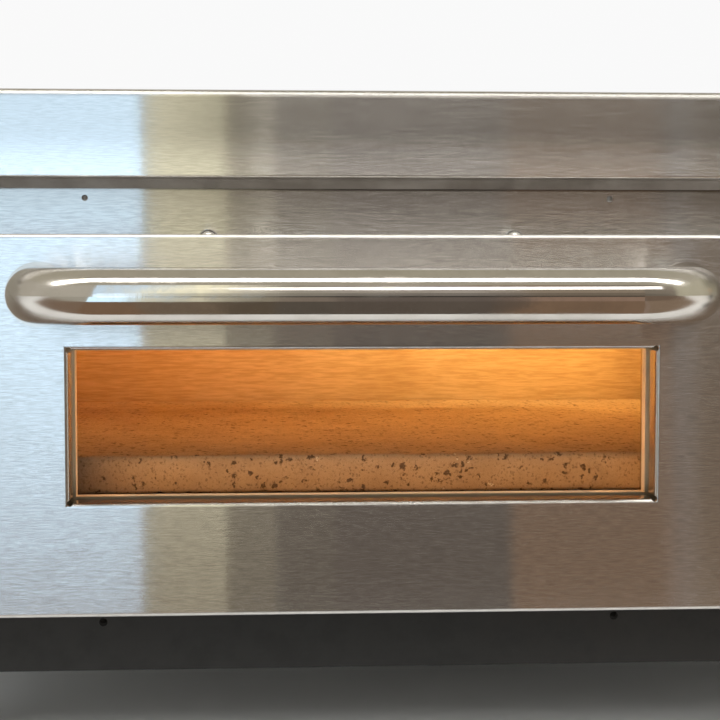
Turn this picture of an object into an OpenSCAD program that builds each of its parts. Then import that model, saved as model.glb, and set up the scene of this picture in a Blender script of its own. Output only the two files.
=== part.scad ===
// Electric pizza oven with a drop-down glazed door, in millimetres.
// +X is right, +Y is to the back, +Z is up; the origin is under the middle of the part.

/* [Sheets] */
// thickness of the outer case sheets
sheet = 1.0; // [0.8:0.1:1.4]
// thickness of the baking chamber sheets
liner = 1.0; // [0.8:0.1:1.4]
// outside bend radius of the top cover and the control panel
cover_bend = 4.0; // [2:0.5:6]
// outside bend radius along the lower edge of the visor
visor_bend = 2.0; // [1.6:0.1:2.4]
// outside bend radius of the door skin
door_bend = 2.0; // [1.6:0.1:3]

/* [Chamber] */
// clear width of the baking chamber
chamber_w = 450; // [320:5:500]
// clear depth of the baking chamber
chamber_d = 350; // [310:5:400]
// height from the chamber floor to the underside of the stone
element_gap = 22; // [20:1:40]
// height from the top of the stone to the chamber roof
bake_h = 101; // [90:1:140]
// thickness of the baking stone
stone_t = 20; // [15:1:30]
// gap between the stone and each side wall
stone_side_gap = 3; // [2.5:0.5:8]
// gap between the stone and the front frame
stone_front_gap = 21; // [5:1:40]
// gap between the stone and the back wall
stone_back_gap = 6; // [2:1:20]
// rounding of the upper edges of the stone
stone_round = 2.5; // [1:0.5:4]

/* [Insulation] */
// thickness of the side blankets
ins_side = 22; // [15:1:35]
// thickness of the back blanket
ins_back = 30; // [15:1:40]
// thickness of the blanket over the roof
ins_top = 35; // [20:1:50]
// thickness of the blanket under the floor
ins_floor = 30; // [20:1:40]
// air gap between a side blanket and the case
air_gap = 18; // [18:1:30]
// air gap between the back blanket and the rear panel
rear_gap = 47; // [20:1:70]
// height of the cavity over the base pan
cavity_h = 30; // [20:1:45]

/* [Case] */
// height of the rubber feet
foot_h = 40; // [35:1:60]
// radius of a foot where it meets the base
foot_r = 20; // [16:1:26]
// inset of the foot centres from the case sides
foot_inset = 45; // [35:1:70]
// width of the compartment for the controls
control_w = 135; // [128:1:170]
// height of the recessed strip that shows over the door
strip_h = 27; // [20:1:40]
// height of the visor on the front of the top cover
visor_h = 43; // [34:1:60]
// how far the visor stands out in front of the case frame
visor_out = 8; // [7:1:14]
// how far the drip edge hangs under the visor
visor_drop = 4.5; // [3:0.5:8]
// height of the base pan rim
pan_rim = 14; // [12:1:18]

/* [Door] */
// thickness of the door
door_t = 32; // [30:1:44]
// gap between the door and the front frame
door_gap = 3; // [2.5:0.5:6]
// overlap of the door beside the mouth
door_lap_side = 30; // [26:1:30]
// overlap of the door over the mouth
door_lap_top = 9; // [9:1:16]
// overlap of the door below the chamber floor
door_lap_low = 28; // [24:1:28]
// width of the window
window_w = 277; // [220:1:300]
// height of the window
window_h = 72; // [60:1:80]
// height of the window over the bottom of the door
window_up = 54; // [46:1:58]
// depth of the lip folded in round the window
window_lip = 13; // [9:1:14]
// thickness of each glass pane
glass_t = 4; // [3:0.5:5]
// bite of the glass behind the window edge
glass_bite = 8; // [5:1:10]
// how far the glazing spacer shows inside the window edge
spacer_show = 1.0; // [0.5:0.5:3]

/* [Handle] */
// outside diameter of the handle tube
tube_d = 25.4; // [20:0.1:28]
// wall of the handle tube
tube_wall = 1.5; // [1:0.1:2.5]
// distance between the handle legs
handle_span = 304; // [240:1:330]
// distance from the door skin to the handle axis
handle_out = 45; // [42:1:60]
// bend radius of the handle axis
handle_bend = 33; // [25:1:38]
// height of the handle axis over the bottom of the door
handle_up = 152; // [148:1:156]
// radius of the collars at the foot of the handle
collar_r = 15; // [14.6:0.1:18]
// thickness of the collars
collar_t = 3; // [2:0.5:6]

/* [Hinge] */
// distance from the door skin back to the hinge axis
hinge_in = 12; // [11:1:14]
// height of the hinge axis over the bottom of the door
hinge_up = 8; // [8:0.5:9]
// radius of the hinge pins
pin_r = 3; // [2.5:0.1:3.4]
// thickness of the hinge plates and the door levers
lever_t = 3; // [2:0.5:3]
// length of the door levers, from the hinge axis to the spring
lever_len = 55; // [48:1:60]
// distance from the hinge axis to the fixed end of the springs
anchor_len = 140; // [125:1:170]
// mean radius of the spring coils
spring_r = 3.1; // [2.8:0.1:3.3]
// radius of the spring wire
wire_r = 0.6; // [0.4:0.1:0.7]
// turns of each spring
spring_turns = 14; // [8:1:18]

/* [Controls] */
// radius of a knob skirt
knob_r = 23; // [18:1:26]
// height of a knob
knob_h = 24; // [18:1:28]
// height of the upper knob axis over the base
knob_high = 175; // [165:1:180]
// height of the lower knob axis over the base
knob_low = 106; // [98:1:112]
// height of the switches over the base
switch_up = 37; // [30:1:45]
// distance between the switches
switch_pitch = 48; // [40:1:60]
// height of the pilot lamps over the base
pilot_up = 222; // [214:1:226]
// distance between the pilot lamps
pilot_pitch = 48; // [30:1:60]
// radius of a thermostat spindle
spindle_r = 3; // [2.5:0.1:3.5]

/* [Inside] */
// radius of the heating element tubes
element_r = 4; // [3:0.1:4.5]
// distance from the roof to the upper element axis
element_drop = 14; // [10:1:20]
// distance of the outer element runs from the front frame and back wall
element_inset = 45; // [30:1:60]
// radius of the lamp opening in the chamber wall
lamp_r = 22; // [20:0.5:26]
// distance from the back wall to the lamp axis
lamp_front = 70; // [50:1:110]
// distance from the roof to the lamp axis
lamp_drop = 47; // [45:1:52]
// bore of the cable gland
gland_bore = 9; // [7:0.5:10]
// how far the cable gland stands out behind the case
gland_out = 18; // [14:1:24]

/* [Fits] */
// radial clearance of pins that turn
run_fit = 0.05; // [0.03:0.01:0.08]
// clearance round parts that pass through a sheet
pass_fit = 0.3; // [0.2:0.1:0.5]
// clearance between sheets that nest
nest_fit = 0.2; // [0.1:0.1:0.3]

/* [Hidden] */
$fn = 48;
eps = 0.01;
// layout across, from the middle of the chamber outwards
half_mouth = chamber_w / 2;
half_liner = half_mouth + liner;
half_wool = half_liner + ins_side;
half_inner = half_wool + air_gap;
half_body = half_inner + sheet;
case_w = 2 * half_body + control_w + sheet;
x_right = case_w / 2;
x_left = -x_right;
x_oven = x_left + half_body;
x_wall = x_oven + half_inner;
x_knob = (x_wall + x_right) / 2;
// layout upwards
z_pan = foot_h;
z_cavity = z_pan + sheet;
z_deck = z_cavity + cavity_h;
z_liner = z_deck + ins_floor;
z_floor = z_liner + liner;
z_stone = z_floor + element_gap;
z_bake = z_stone + stone_t;
z_roof = z_bake + bake_h;
z_door = z_floor - door_lap_low;
z_door_top = z_roof + door_lap_top;
door_h = z_door_top - z_door;
kick_gap = 2;
z_kick = z_door - kick_gap;
z_visor = z_door_top + strip_h;
z_top = z_visor + visor_h;
// layout backwards
case_d = sheet + chamber_d + liner + ins_back + rear_gap + sheet;
front_reach = door_gap + door_t + handle_out + tube_d / 2;
y_frame = (front_reach - case_d - gland_out) / 2;
y_mouth = y_frame + sheet;
y_back = y_mouth + chamber_d;
y_wool = y_back + liner + ins_back;
y_rear = y_frame + case_d;
y_seat = y_frame - door_gap;
y_skin = y_seat - door_t;
y_visor = y_frame - visor_out;
visor_lip = visor_out - 2;
// door
door_w = chamber_w + 2 * door_lap_side;
half_door = door_w / 2;
z_win = z_door + window_up + window_h / 2;
pane_w = window_w + 2 * glass_bite;
pane_h = window_h + 2 * glass_bite;
y_pane = y_skin + window_lip;
inner_rim = 3;
y_inner = y_seat - sheet - inner_rim - glass_t;
flange_in = 12;
door_screw_x = 74;
screw_back = 7;
z_handle = z_door + handle_up;
half_span = handle_span / 2;
tube_r = tube_d / 2;
bore_r = tube_r - tube_wall;
plug_t = 8;
bolt_r = 3;
bolt_head_r = 6;
bolt_head_t = 5;
bolt_pocket = 8;
// hinge
y_hinge = y_skin + hinge_in;
z_hinge = z_door + hinge_up;
plate_in = half_inner - lever_t;
lever_out = half_door - sheet;
lever_in = lever_out - lever_t;
nose_r = 9.5;
boss_r = 9;
tip_r = 5;
tip_pin_r = 2;
bush_wall = 1.5;
bush_rim = 2.5;
bush_r = pin_r + bush_wall;
bush_collar_r = bush_r + bush_rim;
collar_gap = 0.5;
leg_h = 55;
slot_in = lever_in - 1;
slot_top = z_hinge + lever_len + tip_r + 4;
x_spring = (plate_in + lever_out) / 2;
// elements
runs = 6;
element_side = 20;
run_pitch = (chamber_d - 2 * element_inset) / (runs - 1);
y_run = y_mouth + element_inset;
turn_r = run_pitch / 2;
half_run = half_mouth - element_side - turn_r;
terminal_out = half_body + 15;
z_upper = z_roof - element_drop;
z_lower = z_floor + element_gap / 2 - 1;
hanger_t = 1.5;
hanger_x = 120;
hanger_edge = 12;
hanger_lip = 3;
y_probe = y_run + 2.5 * run_pitch;
probe_r = 3;
probe_len = 70;
// lamp
y_lamp = y_back - lamp_front;
z_lamp = z_roof - lamp_drop;
lamp_glass_t = 1.5;
lamp_flange_r = lamp_r + 3;
lamp_flange_t = 1.5;
bezel_r = lamp_r + 7;
bezel_t = 3.5;
dome_len = 8;
socket_r = 14;
socket_len = 20;
bulb_r = 10;
bulb_neck_r = 7;
// controls
z_upper_knob = z_pan + knob_high;
z_lower_knob = z_pan + knob_low;
z_switch = z_pan + switch_up;
z_pilot = z_pan + pilot_up;
neck_r = spindle_r + 2;
neck_out = 6;
knob_gap = 1;
stat_w = 34;
stat_d = 30;
spindle_in = 14;
spindle_out = 19;
switch_w = 18;
switch_h = 27;
switch_d = 20;
bezel_edge = 1.5;
bezel_out = 2;
rocker_w = 13.4;
rocker_r = 12;
rocker_side = 0.3;
rocker_tilt = 10;
rocker_mid = 3.5;
rocker_back = 5;
rocker_pin_r = 1.5;
rocker_pin_len = 1.2;
rocker_deep = 3;
pilot_r = 5;
pilot_flange_r = 6.5;
pilot_flange_t = 1.2;
pilot_len = 16;
// fastenings and openings in the sheets
screw_r = 1.8;
screw_head_r = 3.6;
screw_head_h = 2.2;
screw_len = 5;
pan_screw_up = 7;
cover_screw_up = 14;
tab_in = 8;
tab_low = 10;
z_tab = z_top - cover_bend - tab_low;
slot_w = 4;
slot_l = 46;
slot_pitch = 12;
rivet_x = [-134, 123];
kick_screw_x = 127;
rivet_up = 18;
rivet_r = 1;
rivet_head_r = 1.5;
kick_screw_drop = 8;
kick_screw_r = 1.2;
kick_head_r = 2;
kick_head_h = 1;
x_gland = x_knob + 28;
z_gland = z_pan + 36;
gland_r = 8;
gland_nut_r = 12;
gland_nut_t = 5;
gland_hex_t = 6;
gasket_w = 6;
gasket_in = 1.5;
gasket_free = 0.3;
wool_front = 6;
block_back = 90;
support_end = 20;
support_in = 70;
support_w = 40;
side_screw_y = [y_frame + 30, (y_frame + y_rear) / 2, y_rear - 30];
rear_screw_x = [x_left + 40, x_left + case_w / 3, x_right - case_w / 3, x_right - 40];
foot_x = [x_left + foot_inset, x_right - foot_inset];
foot_y = [y_frame + foot_inset, y_rear - foot_inset];
foot_bore = 3.1;
foot_well_r = 7;
foot_well = 12;
foot_taper = 4;

// a box between two corners
module slab(a, b) {
  translate(a) cube(b - a);
}

// a rod along X, from x0 to x1
module rod_x(r, x0, x1, y, z) {
  translate([x0, y, z]) rotate([0, 90, 0]) cylinder(r = r, h = x1 - x0);
}

// a rod along Y, from y0 to y1
module rod_y(r, y0, y1, x, z) {
  translate([x, y0, z]) rotate([-90, 0, 0]) cylinder(r = r, h = y1 - y0);
}

// a rod along Z, from z0 to z1
module rod_z(r, z0, z1, x, y) {
  translate([x, y, z0]) cylinder(r = r, h = z1 - z0);
}

// moves parts drawn about the middle of the chamber to their place in the case
module in_oven() {
  translate([x_oven, 0, 0]) children();
}

// a part and its mirror image across the middle of the chamber
module both_sides() {
  children();
  mirror([1, 0, 0]) children();
}

// a rectangle whose two front corners are rounded
module soft_profile(w, d, r) {
  translate([-w / 2, r]) square([w, d - r]);
  translate([r - w / 2, 0]) square([w - 2 * r, d]);
  for (s = [-1, 1]) translate([s * (w / 2 - r), r]) circle(r);
}

// a block whose front face lies on y = 0, with all four edges of that face rounded
module soft_block(w, h, d, r) {
  intersection() {
    translate([0, 0, -h / 2]) linear_extrude(h) soft_profile(w, d, r);
    rotate([0, 90, 0]) translate([0, 0, -w / 2]) linear_extrude(w) soft_profile(h, d, r);
  }
}

// a folded sheet tray, closed in front and open behind
module tray(w, h, d, t, r) {
  difference() {
    soft_block(w, h, d, r);
    translate([0, t, 0]) soft_block(w - 2 * t, h - 2 * t, d, r - t);
  }
}

// the space of a window whose edges are rolled in with radius r, d deep
module rolled_window(w, h, d, r) {
  module flare(s) {
    translate([-s / 2, 0]) square([s, d]);
    difference() {
      translate([-s / 2 - r, -eps]) square([s + 2 * r, r + eps]);
      for (k = [-1, 1]) translate([k * (s / 2 + r), r]) circle(r);
    }
  }
  intersection() {
    translate([0, 0, -h / 2 - r]) linear_extrude(h + 2 * r) flare(w);
    rotate([0, 90, 0]) translate([0, 0, -w / 2 - r]) linear_extrude(w + 2 * r) flare(h);
  }
}

// a vent slot with round ends, cut along Y; its length runs along X
module slot_cut(l, w, d) {
  translate([-l / 2 + w / 2, -d / 2, -w / 2]) cube([l - w, d, w]);
  for (s = [-1, 1]) rod_y(w / 2, -d / 2, d / 2, s * (l / 2 - w / 2), 0);
}

// rows of vent slots, centred on the origin
module slot_rows(columns, rows, gap, d) {
  for (i = [0 : columns - 1], k = [0 : rows - 1])
    translate([(i - (columns - 1) / 2) * (slot_l + gap), 0, (k - (rows - 1) / 2) * slot_pitch])
      slot_cut(slot_l, slot_w, d);
}

// a dome-headed screw that points along +Y, its head seated on y = 0
module dome_screw(r, head_r, head_h, len) {
  rod_y(r, -eps, len, 0, 0);
  cap_r = (head_r * head_r + head_h * head_h) / (2 * head_h);
  intersection() {
    translate([0, cap_r - head_h, 0]) sphere(cap_r);
    rod_y(head_r, -head_h, 0, 0, 0);
  }
}

// places children at each screw of the case, with +Y pointing into the case
module case_screw_spots(left = true, right = true, rear = true, low = true, high = true) {
  levels = concat(low ? [z_pan + pan_screw_up] : [], high ? [z_visor + cover_screw_up] : []);
  for (z = levels) {
    if (left) for (y = side_screw_y) translate([x_left, y, z]) rotate([0, 0, -90]) children();
    if (right) for (y = side_screw_y) translate([x_right, y, z]) rotate([0, 0, 90]) children();
    if (rear) for (x = rear_screw_x) translate([x, y_rear, z]) rotate([0, 0, 180]) children();
  }
}

// the hole that a case screw passes through
module screw_hole() {
  rod_y(screw_r + pass_fit, -1, screw_len + 1, 0, 0);
}

// places children at each foot
module foot_spots() {
  for (x = foot_x, y = foot_y) translate([x, y, 0]) children();
}

module base_pan() {
  depth = y_rear - sheet - y_mouth;
  color("silver") difference() {
    translate([0, y_mouth + depth / 2, z_pan]) rotate([90, 0, 0])
      tray(case_w - 2 * sheet, depth, pan_rim, sheet, 2 * sheet);
    foot_spots() rod_z(foot_bore, z_pan - 1, z_cavity + 1, 0, 0);
    case_screw_spots(high = false) screw_hole();
    translate([x_knob, (y_frame + y_rear) / 2, z_pan]) rotate([90, 0, 0])
      slot_rows(2, 5, 10, 3 * sheet);
  }
}

module kick_plate() {
  color("dimgray") in_oven() difference() {
    slab([-half_inner, y_frame, z_pan], [half_inner, y_mouth, z_kick]);
    for (s = [-1, 1])
      rod_y(kick_screw_r + pass_fit, y_frame - 1, y_mouth + 1, s * kick_screw_x, z_kick - kick_screw_drop);
  }
}

// a side sheet whose outer face lies on x = 0, with a tab set in behind the top cover
module side_sheet() {
  slab([0, y_frame, z_pan], [sheet, y_rear, z_visor]);
  slab([sheet - eps, y_frame + tab_in, z_visor - tab_low], [2 * sheet, y_rear - tab_in, z_visor]);
  slab([sheet, y_frame + tab_in, z_visor - eps], [2 * sheet, y_rear - tab_in, z_tab]);
}

module side_vents(columns) {
  translate([0, (y_frame + y_rear) / 2, (z_pan + z_visor) / 2]) rotate([0, 0, 90])
    slot_rows(columns, 7, 22, 4 * sheet);
}

module left_side_panel() {
  color("silver") difference() {
    translate([x_left, 0, 0]) side_sheet();
    translate([x_left, 0, 0]) side_vents(4);
    case_screw_spots(right = false, rear = false) screw_hole();
  }
}

module right_side_panel() {
  color("silver") difference() {
    translate([x_right, 0, 0]) mirror([1, 0, 0]) side_sheet();
    translate([x_right, 0, 0]) side_vents(4);
    case_screw_spots(left = false, rear = false) screw_hole();
  }
}

module rear_panel() {
  color("silver") difference() {
    union() {
      slab([x_left + sheet, y_rear - sheet, z_pan], [x_right - sheet, y_rear, z_visor]);
      slab([x_left + tab_in, y_rear - 2 * sheet, z_visor - tab_low],
        [x_right - tab_in, y_rear - sheet + eps, z_visor]);
      slab([x_left + tab_in, y_rear - 2 * sheet, z_visor - eps], [x_right - tab_in, y_rear - sheet, z_tab]);
    }
    translate([x_oven, y_rear, (z_pan + z_visor) / 2]) slot_rows(5, 6, 22, 3 * sheet);
    translate([x_knob, y_rear, (z_pan + z_visor) / 2 + tab_low]) slot_rows(2, 6, 10, 3 * sheet);
    rod_y(gland_r + nest_fit, y_rear - 2 * sheet, y_rear + 1, x_gland, z_gland);
    case_screw_spots(left = false, right = false) screw_hole();
  }
}

module top_cover() {
  depth = y_rear - y_visor;
  color("gainsboro") difference() {
    union() {
      translate([0, y_visor + depth / 2, z_top]) rotate([-90, 0, 0])
        tray(case_w, depth, visor_h, sheet, cover_bend);
      slab([x_left + sheet / 2, y_visor + sheet / 2, z_visor],
        [x_right - sheet / 2, y_visor + visor_lip, z_visor + sheet]);
      translate([x_left + sheet, 0, 0]) rotate([90, 0, 90]) linear_extrude(x_wall - x_left - 2 * sheet)
        polygon([[y_visor + visor_bend, z_visor + sheet / 2], [y_visor + visor_bend, z_visor],
          [y_visor + visor_lip, z_visor - visor_drop], [y_visor + visor_lip, z_visor + sheet / 2]]);
    }
    difference() {
      slab([x_left - 1, y_visor - 1, z_visor - 1], [x_right + 1, y_visor + visor_bend, z_visor + visor_bend]);
      rod_x(visor_bend, x_left - 2, x_right + 2, y_visor + visor_bend, z_visor + visor_bend);
    }
    case_screw_spots(low = false) screw_hole();
  }
}

module front_header() {
  color("silver") in_oven() difference() {
    slab([-half_inner, y_frame, z_roof], [half_inner, y_mouth, z_visor + visor_h / 2]);
    for (x = rivet_x)
      rod_y(rivet_r + nest_fit, y_frame - 1, y_mouth + 1, x, z_door_top + rivet_up);
  }
}

module header_rivets() {
  color("gray") in_oven() for (x = rivet_x)
    translate([x, y_frame, z_door_top + rivet_up])
      dome_screw(rivet_r, rivet_head_r, rivet_head_r / 3, 3 * sheet);
}

module front_posts() {
  color("silver") in_oven() both_sides() {
    slab([half_mouth, y_frame, slot_top], [half_inner, y_mouth, z_roof]);
    slab([half_mouth, y_frame, z_floor], [slot_in, y_mouth, slot_top + eps]);
  }
}

module front_sill() {
  color("silver") in_oven()
    slab([-slot_in, y_frame, z_kick], [slot_in, y_mouth, z_floor]);
}

// a flat woven tape round the mouth, that the door closes against
module door_gasket() {
  hw = half_mouth + gasket_in;
  zl = z_floor - gasket_in;
  zh = z_roof + gasket_in;
  color("darkkhaki") in_oven() difference() {
    slab([-hw - gasket_w, y_seat + gasket_free, zl - gasket_w], [hw + gasket_w, y_frame, zh + gasket_w]);
    slab([-hw, y_seat, zl], [hw, y_frame + 1, zh]);
  }
}

module compartment_wall() {
  color("silver") difference() {
    slab([x_wall, y_frame, z_cavity], [x_wall + sheet, y_rear - 3 * sheet, z_visor + visor_h / 2]);
    slab([x_wall - 1, y_frame - 1, z_cavity - 1],
      [x_wall + sheet + 1, y_mouth + 2 * sheet, z_pan + pan_rim + nest_fit]);
    in_oven() heat_leads(pass_fit);
  }
}

module control_panel() {
  w = x_right - x_wall;
  h = z_visor - z_pan - nest_fit;
  depth = y_frame - y_visor;
  color("gainsboro") difference() {
    translate([x_knob, y_visor, z_pan + h / 2]) tray(w, h, depth, sheet, cover_bend);
    for (z = [z_upper_knob, z_lower_knob])
      rod_y(neck_r + pass_fit, y_visor - 1, y_visor + 2 * sheet, x_knob, z);
    for (s = [-1, 1]) {
      rod_y(pilot_r + pass_fit, y_visor - 1, y_visor + 2 * sheet, x_knob + s * pilot_pitch / 2, z_pilot);
      translate([x_knob + s * switch_pitch / 2, y_visor, z_switch])
        cube([switch_w + 2 * nest_fit, 4 * sheet, switch_h + 2 * nest_fit], center = true);
    }
  }
}

module rubber_feet() {
  color("dimgray") foot_spots() difference() {
    cylinder(r1 = foot_r - foot_taper, r2 = foot_r, h = foot_h);
    translate([0, 0, -1]) cylinder(r = foot_well_r, h = foot_well + 1);
    cylinder(r = foot_bore, h = foot_h + 1);
  }
}

module foot_screws() {
  head_t = 4;
  color("silver") foot_spots() union() {
    rod_z(foot_well_r - 1, foot_well - head_t, foot_well, 0, 0);
    rod_z(foot_bore - pass_fit, foot_well - head_t / 2, z_cavity + head_t / 2, 0, 0);
    translate([0, 0, z_cavity]) cylinder(r = foot_well_r - 1, h = head_t, $fn = 6);
  }
}

module case_screws() {
  color("silver") {
    case_screw_spots() dome_screw(screw_r, screw_head_r, screw_head_h, screw_len);
    in_oven() for (s = [-1, 1]) translate([s * kick_screw_x, y_frame, z_kick - kick_screw_drop])
      dome_screw(kick_screw_r, kick_head_r, kick_head_h, screw_len);
  }
}

// the rods that pass from the chamber into the control compartment
module heat_leads(fit) {
  for (z = [z_upper, z_lower]) {
    for (y = [y_run, y_run + (runs - 1) * run_pitch])
      rod_x(element_r + fit, half_mouth - 1, half_body + 2, y, z);
    rod_x(probe_r + fit, half_mouth - 1, half_body + 2, y_probe, z);
  }
}

module side_insulation() {
  color("khaki") in_oven() {
    mirror([1, 0, 0]) slab([half_liner, y_mouth, z_liner], [half_wool, y_back + liner, z_roof + liner]);
    difference() {
      slab([half_liner, y_mouth, z_liner], [half_wool, y_back + liner, z_roof + liner]);
      heat_leads(pass_fit);
      rod_x(lamp_r + pass_fit, half_mouth - 1, half_wool + 1, y_lamp, z_lamp);
    }
  }
}

module top_insulation() {
  color("khaki") in_oven()
    slab([-half_wool, y_mouth + wool_front, z_roof + liner], [half_wool, y_wool, z_roof + liner + ins_top]);
}

module back_insulation() {
  color("khaki") in_oven()
    slab([-half_wool, y_back + liner, z_liner], [half_wool, y_wool, z_roof + liner]);
}

module floor_insulation() {
  color("khaki") in_oven()
    slab([-half_liner, y_mouth, z_deck], [half_liner, y_wool, z_liner]);
}

// two folded channels that carry the chamber over the base pan
module chamber_supports() {
  half = half_mouth - support_end;
  reach = support_w / 2;
  color("gray") in_oven() for (y = [y_mouth + support_in, y_back - support_in]) difference() {
    slab([-half, y - reach, z_cavity], [half, y + reach, z_deck]);
    slab([-half - 1, y - reach + 2 * sheet, z_cavity - 1], [half + 1, y + reach - 2 * sheet, z_deck - 2 * sheet]);
  }
}

module chamber_side_walls() {
  color("lightgray") in_oven() {
    mirror([1, 0, 0]) slab([half_mouth, y_mouth, z_floor], [half_liner, y_back, z_roof]);
    difference() {
      slab([half_mouth, y_mouth, z_floor], [half_liner, y_back, z_roof]);
      heat_leads(pass_fit);
      rod_x(lamp_r + pass_fit, half_mouth - 1, half_liner + 1, y_lamp, z_lamp);
    }
  }
}

module chamber_back_wall() {
  color("lightgray") in_oven()
    slab([-half_liner, y_back, z_floor], [half_liner, y_back + liner, z_roof]);
}

module chamber_roof() {
  color("lightgray") in_oven()
    slab([-half_liner, y_mouth, z_roof], [half_liner, y_back + liner, z_roof + liner]);
}

module chamber_floor() {
  color("lightgray") in_oven()
    slab([-half_liner, y_mouth, z_liner], [half_liner, y_back + liner, z_floor]);
}

// an angle on each side wall that carries the stone
module stone_rails() {
  t = 1.5;
  ledge = stone_side_gap + 10;
  color("gray") in_oven() both_sides() {
    y0 = y_mouth + stone_front_gap;
    y1 = y_back - stone_back_gap;
    slab([half_mouth - ledge, y0, z_stone - t], [half_mouth, y1, z_stone]);
    slab([half_mouth - t, y0, z_stone - t], [half_mouth, y1, z_stone + stone_t / 2]);
  }
}

module baking_stone() {
  w = chamber_w - 2 * stone_side_gap;
  d = chamber_d - stone_front_gap - stone_back_gap;
  color("tan") in_oven() translate([0, y_mouth + stone_front_gap + d / 2, z_bake])
    rotate([-90, 0, 0]) soft_block(w, d, stone_t, stone_round);
}

// a sheathed tube bent to and fro over the chamber, both ends leaving on the right
module element(z) {
  last = runs - 1;
  in_oven() {
    for (i = [0 : last]) {
      end = (i == 0 || i == last) ? terminal_out : half_run;
      rod_x(element_r, -half_run, end, y_run + i * run_pitch, z);
    }
    for (i = [0 : last - 1]) {
      side = (i % 2 == 0) ? -1 : 1;
      translate([side * half_run, y_run + (i + 0.5) * run_pitch, z]) rotate([0, 0, -90 * side])
        rotate_extrude(angle = 180) translate([turn_r, 0]) circle(element_r);
    }
  }
}

module upper_element() {
  color("dimgray") element(z_upper);
}

module lower_element() {
  color("dimgray") element(z_lower);
}

// upright strips that hold every run of an element
module element_hangers() {
  y0 = y_run - hanger_edge;
  y1 = y_run + (runs - 1) * run_pitch + hanger_edge;
  color("gray") in_oven() for (x = [-hanger_x, hanger_x]) difference() {
    union() {
      slab([x, y0, z_upper - element_r - hanger_lip], [x + hanger_t, y1, z_roof]);
      slab([x, y0, z_floor], [x + hanger_t, y1, z_lower + element_r + hanger_lip]);
    }
    for (i = [0 : runs - 1], z = [z_upper, z_lower])
      rod_x(element_r + pass_fit, x - 1, x + hanger_t + 1, y_run + i * run_pitch, z);
  }
}

module temperature_probes() {
  color("peru") in_oven() for (z = [z_upper, z_lower])
    rod_x(probe_r, half_mouth - probe_len, terminal_out, y_probe, z);
}

// places children drawn along +Z so that they point from the right wall into the chamber
module at_lamp() {
  translate([x_oven + half_mouth, y_lamp, z_lamp]) rotate([0, -90, 0]) children();
}

module lamp_socket() {
  back = half_inner - half_mouth;
  color("ivory") at_lamp() translate([0, 0, -back]) difference() {
    cylinder(r = socket_r, h = socket_len);
    translate([0, 0, socket_len - 8]) cylinder(r = bulb_neck_r + run_fit, h = 9);
  }
}

module lamp_bulb() {
  seat = socket_len - 8 - (half_inner - half_mouth);
  color("lightyellow") at_lamp() {
    translate([0, 0, seat]) cylinder(r = bulb_neck_r, h = bulb_r + 8);
    translate([0, 0, seat + 8 + bulb_r]) sphere(bulb_r);
  }
}

module lamp_glass() {
  outer = lamp_r - pass_fit;
  color("lightblue") at_lamp() difference() {
    union() {
      cylinder(r = lamp_flange_r, h = lamp_flange_t);
      translate([0, 0, -liner]) cylinder(r = outer, h = dome_len + liner);
      translate([0, 0, dome_len]) intersection() {
        translate([0, 0, -outer]) sphere(outer * sqrt(2));
        cylinder(r = outer, h = outer);
      }
    }
    translate([0, 0, -liner - 1]) cylinder(r = outer - lamp_glass_t, h = dome_len + liner + 1);
    translate([0, 0, dome_len - eps]) intersection() {
      translate([0, 0, -outer]) sphere(outer * sqrt(2) - lamp_glass_t);
      cylinder(r = outer - lamp_glass_t, h = outer);
    }
  }
}

module lamp_bezel() {
  color("silver") at_lamp() difference() {
    cylinder(r = bezel_r, h = bezel_t);
    translate([0, 0, -1]) cylinder(r = lamp_flange_r + nest_fit, h = lamp_flange_t + 1);
    cylinder(r = lamp_r, h = bezel_t + 1);
  }
}

// a thermostat behind the panel, its neck out through it
module thermostat(z) {
  difference() {
    union() {
      slab([x_knob - stat_w / 2, y_visor + sheet, z - stat_w / 2],
        [x_knob + stat_w / 2, y_visor + sheet + stat_d, z + stat_w / 2]);
      rod_y(neck_r, y_visor - neck_out, y_visor + 2 * sheet, x_knob, z);
    }
    rod_y(spindle_r + run_fit, y_visor - neck_out - 1, y_visor + spindle_in, x_knob, z);
  }
}

module thermostats() {
  color("dimgray") {
    thermostat(z_upper_knob);
    thermostat(z_lower_knob);
  }
}

module spindle(z) {
  rod_y(spindle_r, y_visor - spindle_out, y_visor + spindle_in - 1, x_knob, z);
}

module upper_spindle() {
  color("silver") spindle(z_upper_knob);
}

module lower_spindle() {
  color("silver") spindle(z_lower_knob);
}

// a fluted knob with a raised pointer, its skirt just clear of the panel
module knob(z) {
  grip_r = knob_r - 5.5;
  skirt = 4.5;
  flutes = 20;
  flute_r = 1.4;
  well = 8;
  pointer_w = 2.4;
  translate([x_knob, y_visor - knob_gap, z]) rotate([90, 0, 0]) difference() {
    union() {
      cylinder(r = knob_r, h = skirt - 1.5);
      translate([0, 0, skirt - 1.5 - eps]) cylinder(r1 = knob_r, r2 = knob_r - 2, h = 1.5);
      difference() {
        union() {
          cylinder(r = grip_r, h = knob_h - 1.5);
          translate([0, 0, knob_h - 1.5 - eps]) cylinder(r1 = grip_r, r2 = grip_r - 1.5, h = 1.5);
        }
        for (i = [0 : flutes - 1]) rotate([0, 0, (i + 0.5) * 360 / flutes])
          translate([grip_r + 0.4, 0, skirt + 1]) cylinder(r = flute_r, h = knob_h);
      }
      translate([-pointer_w / 2, 3, 0]) cube([pointer_w, grip_r - 6, knob_h + 0.6]);
      translate([-pointer_w / 2, grip_r - 1, 0]) cube([pointer_w, knob_r - grip_r - 1.5, skirt + 0.8]);
    }
    translate([0, 0, -1]) cylinder(r = neck_r + 2, h = neck_out - knob_gap + 2);
    cylinder(r = spindle_r + run_fit, h = spindle_out - knob_gap + 0.5);
  }
}

module upper_knob() {
  color("black") knob(z_upper_knob);
}

module lower_knob() {
  color("black") knob(z_lower_knob);
}

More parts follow.
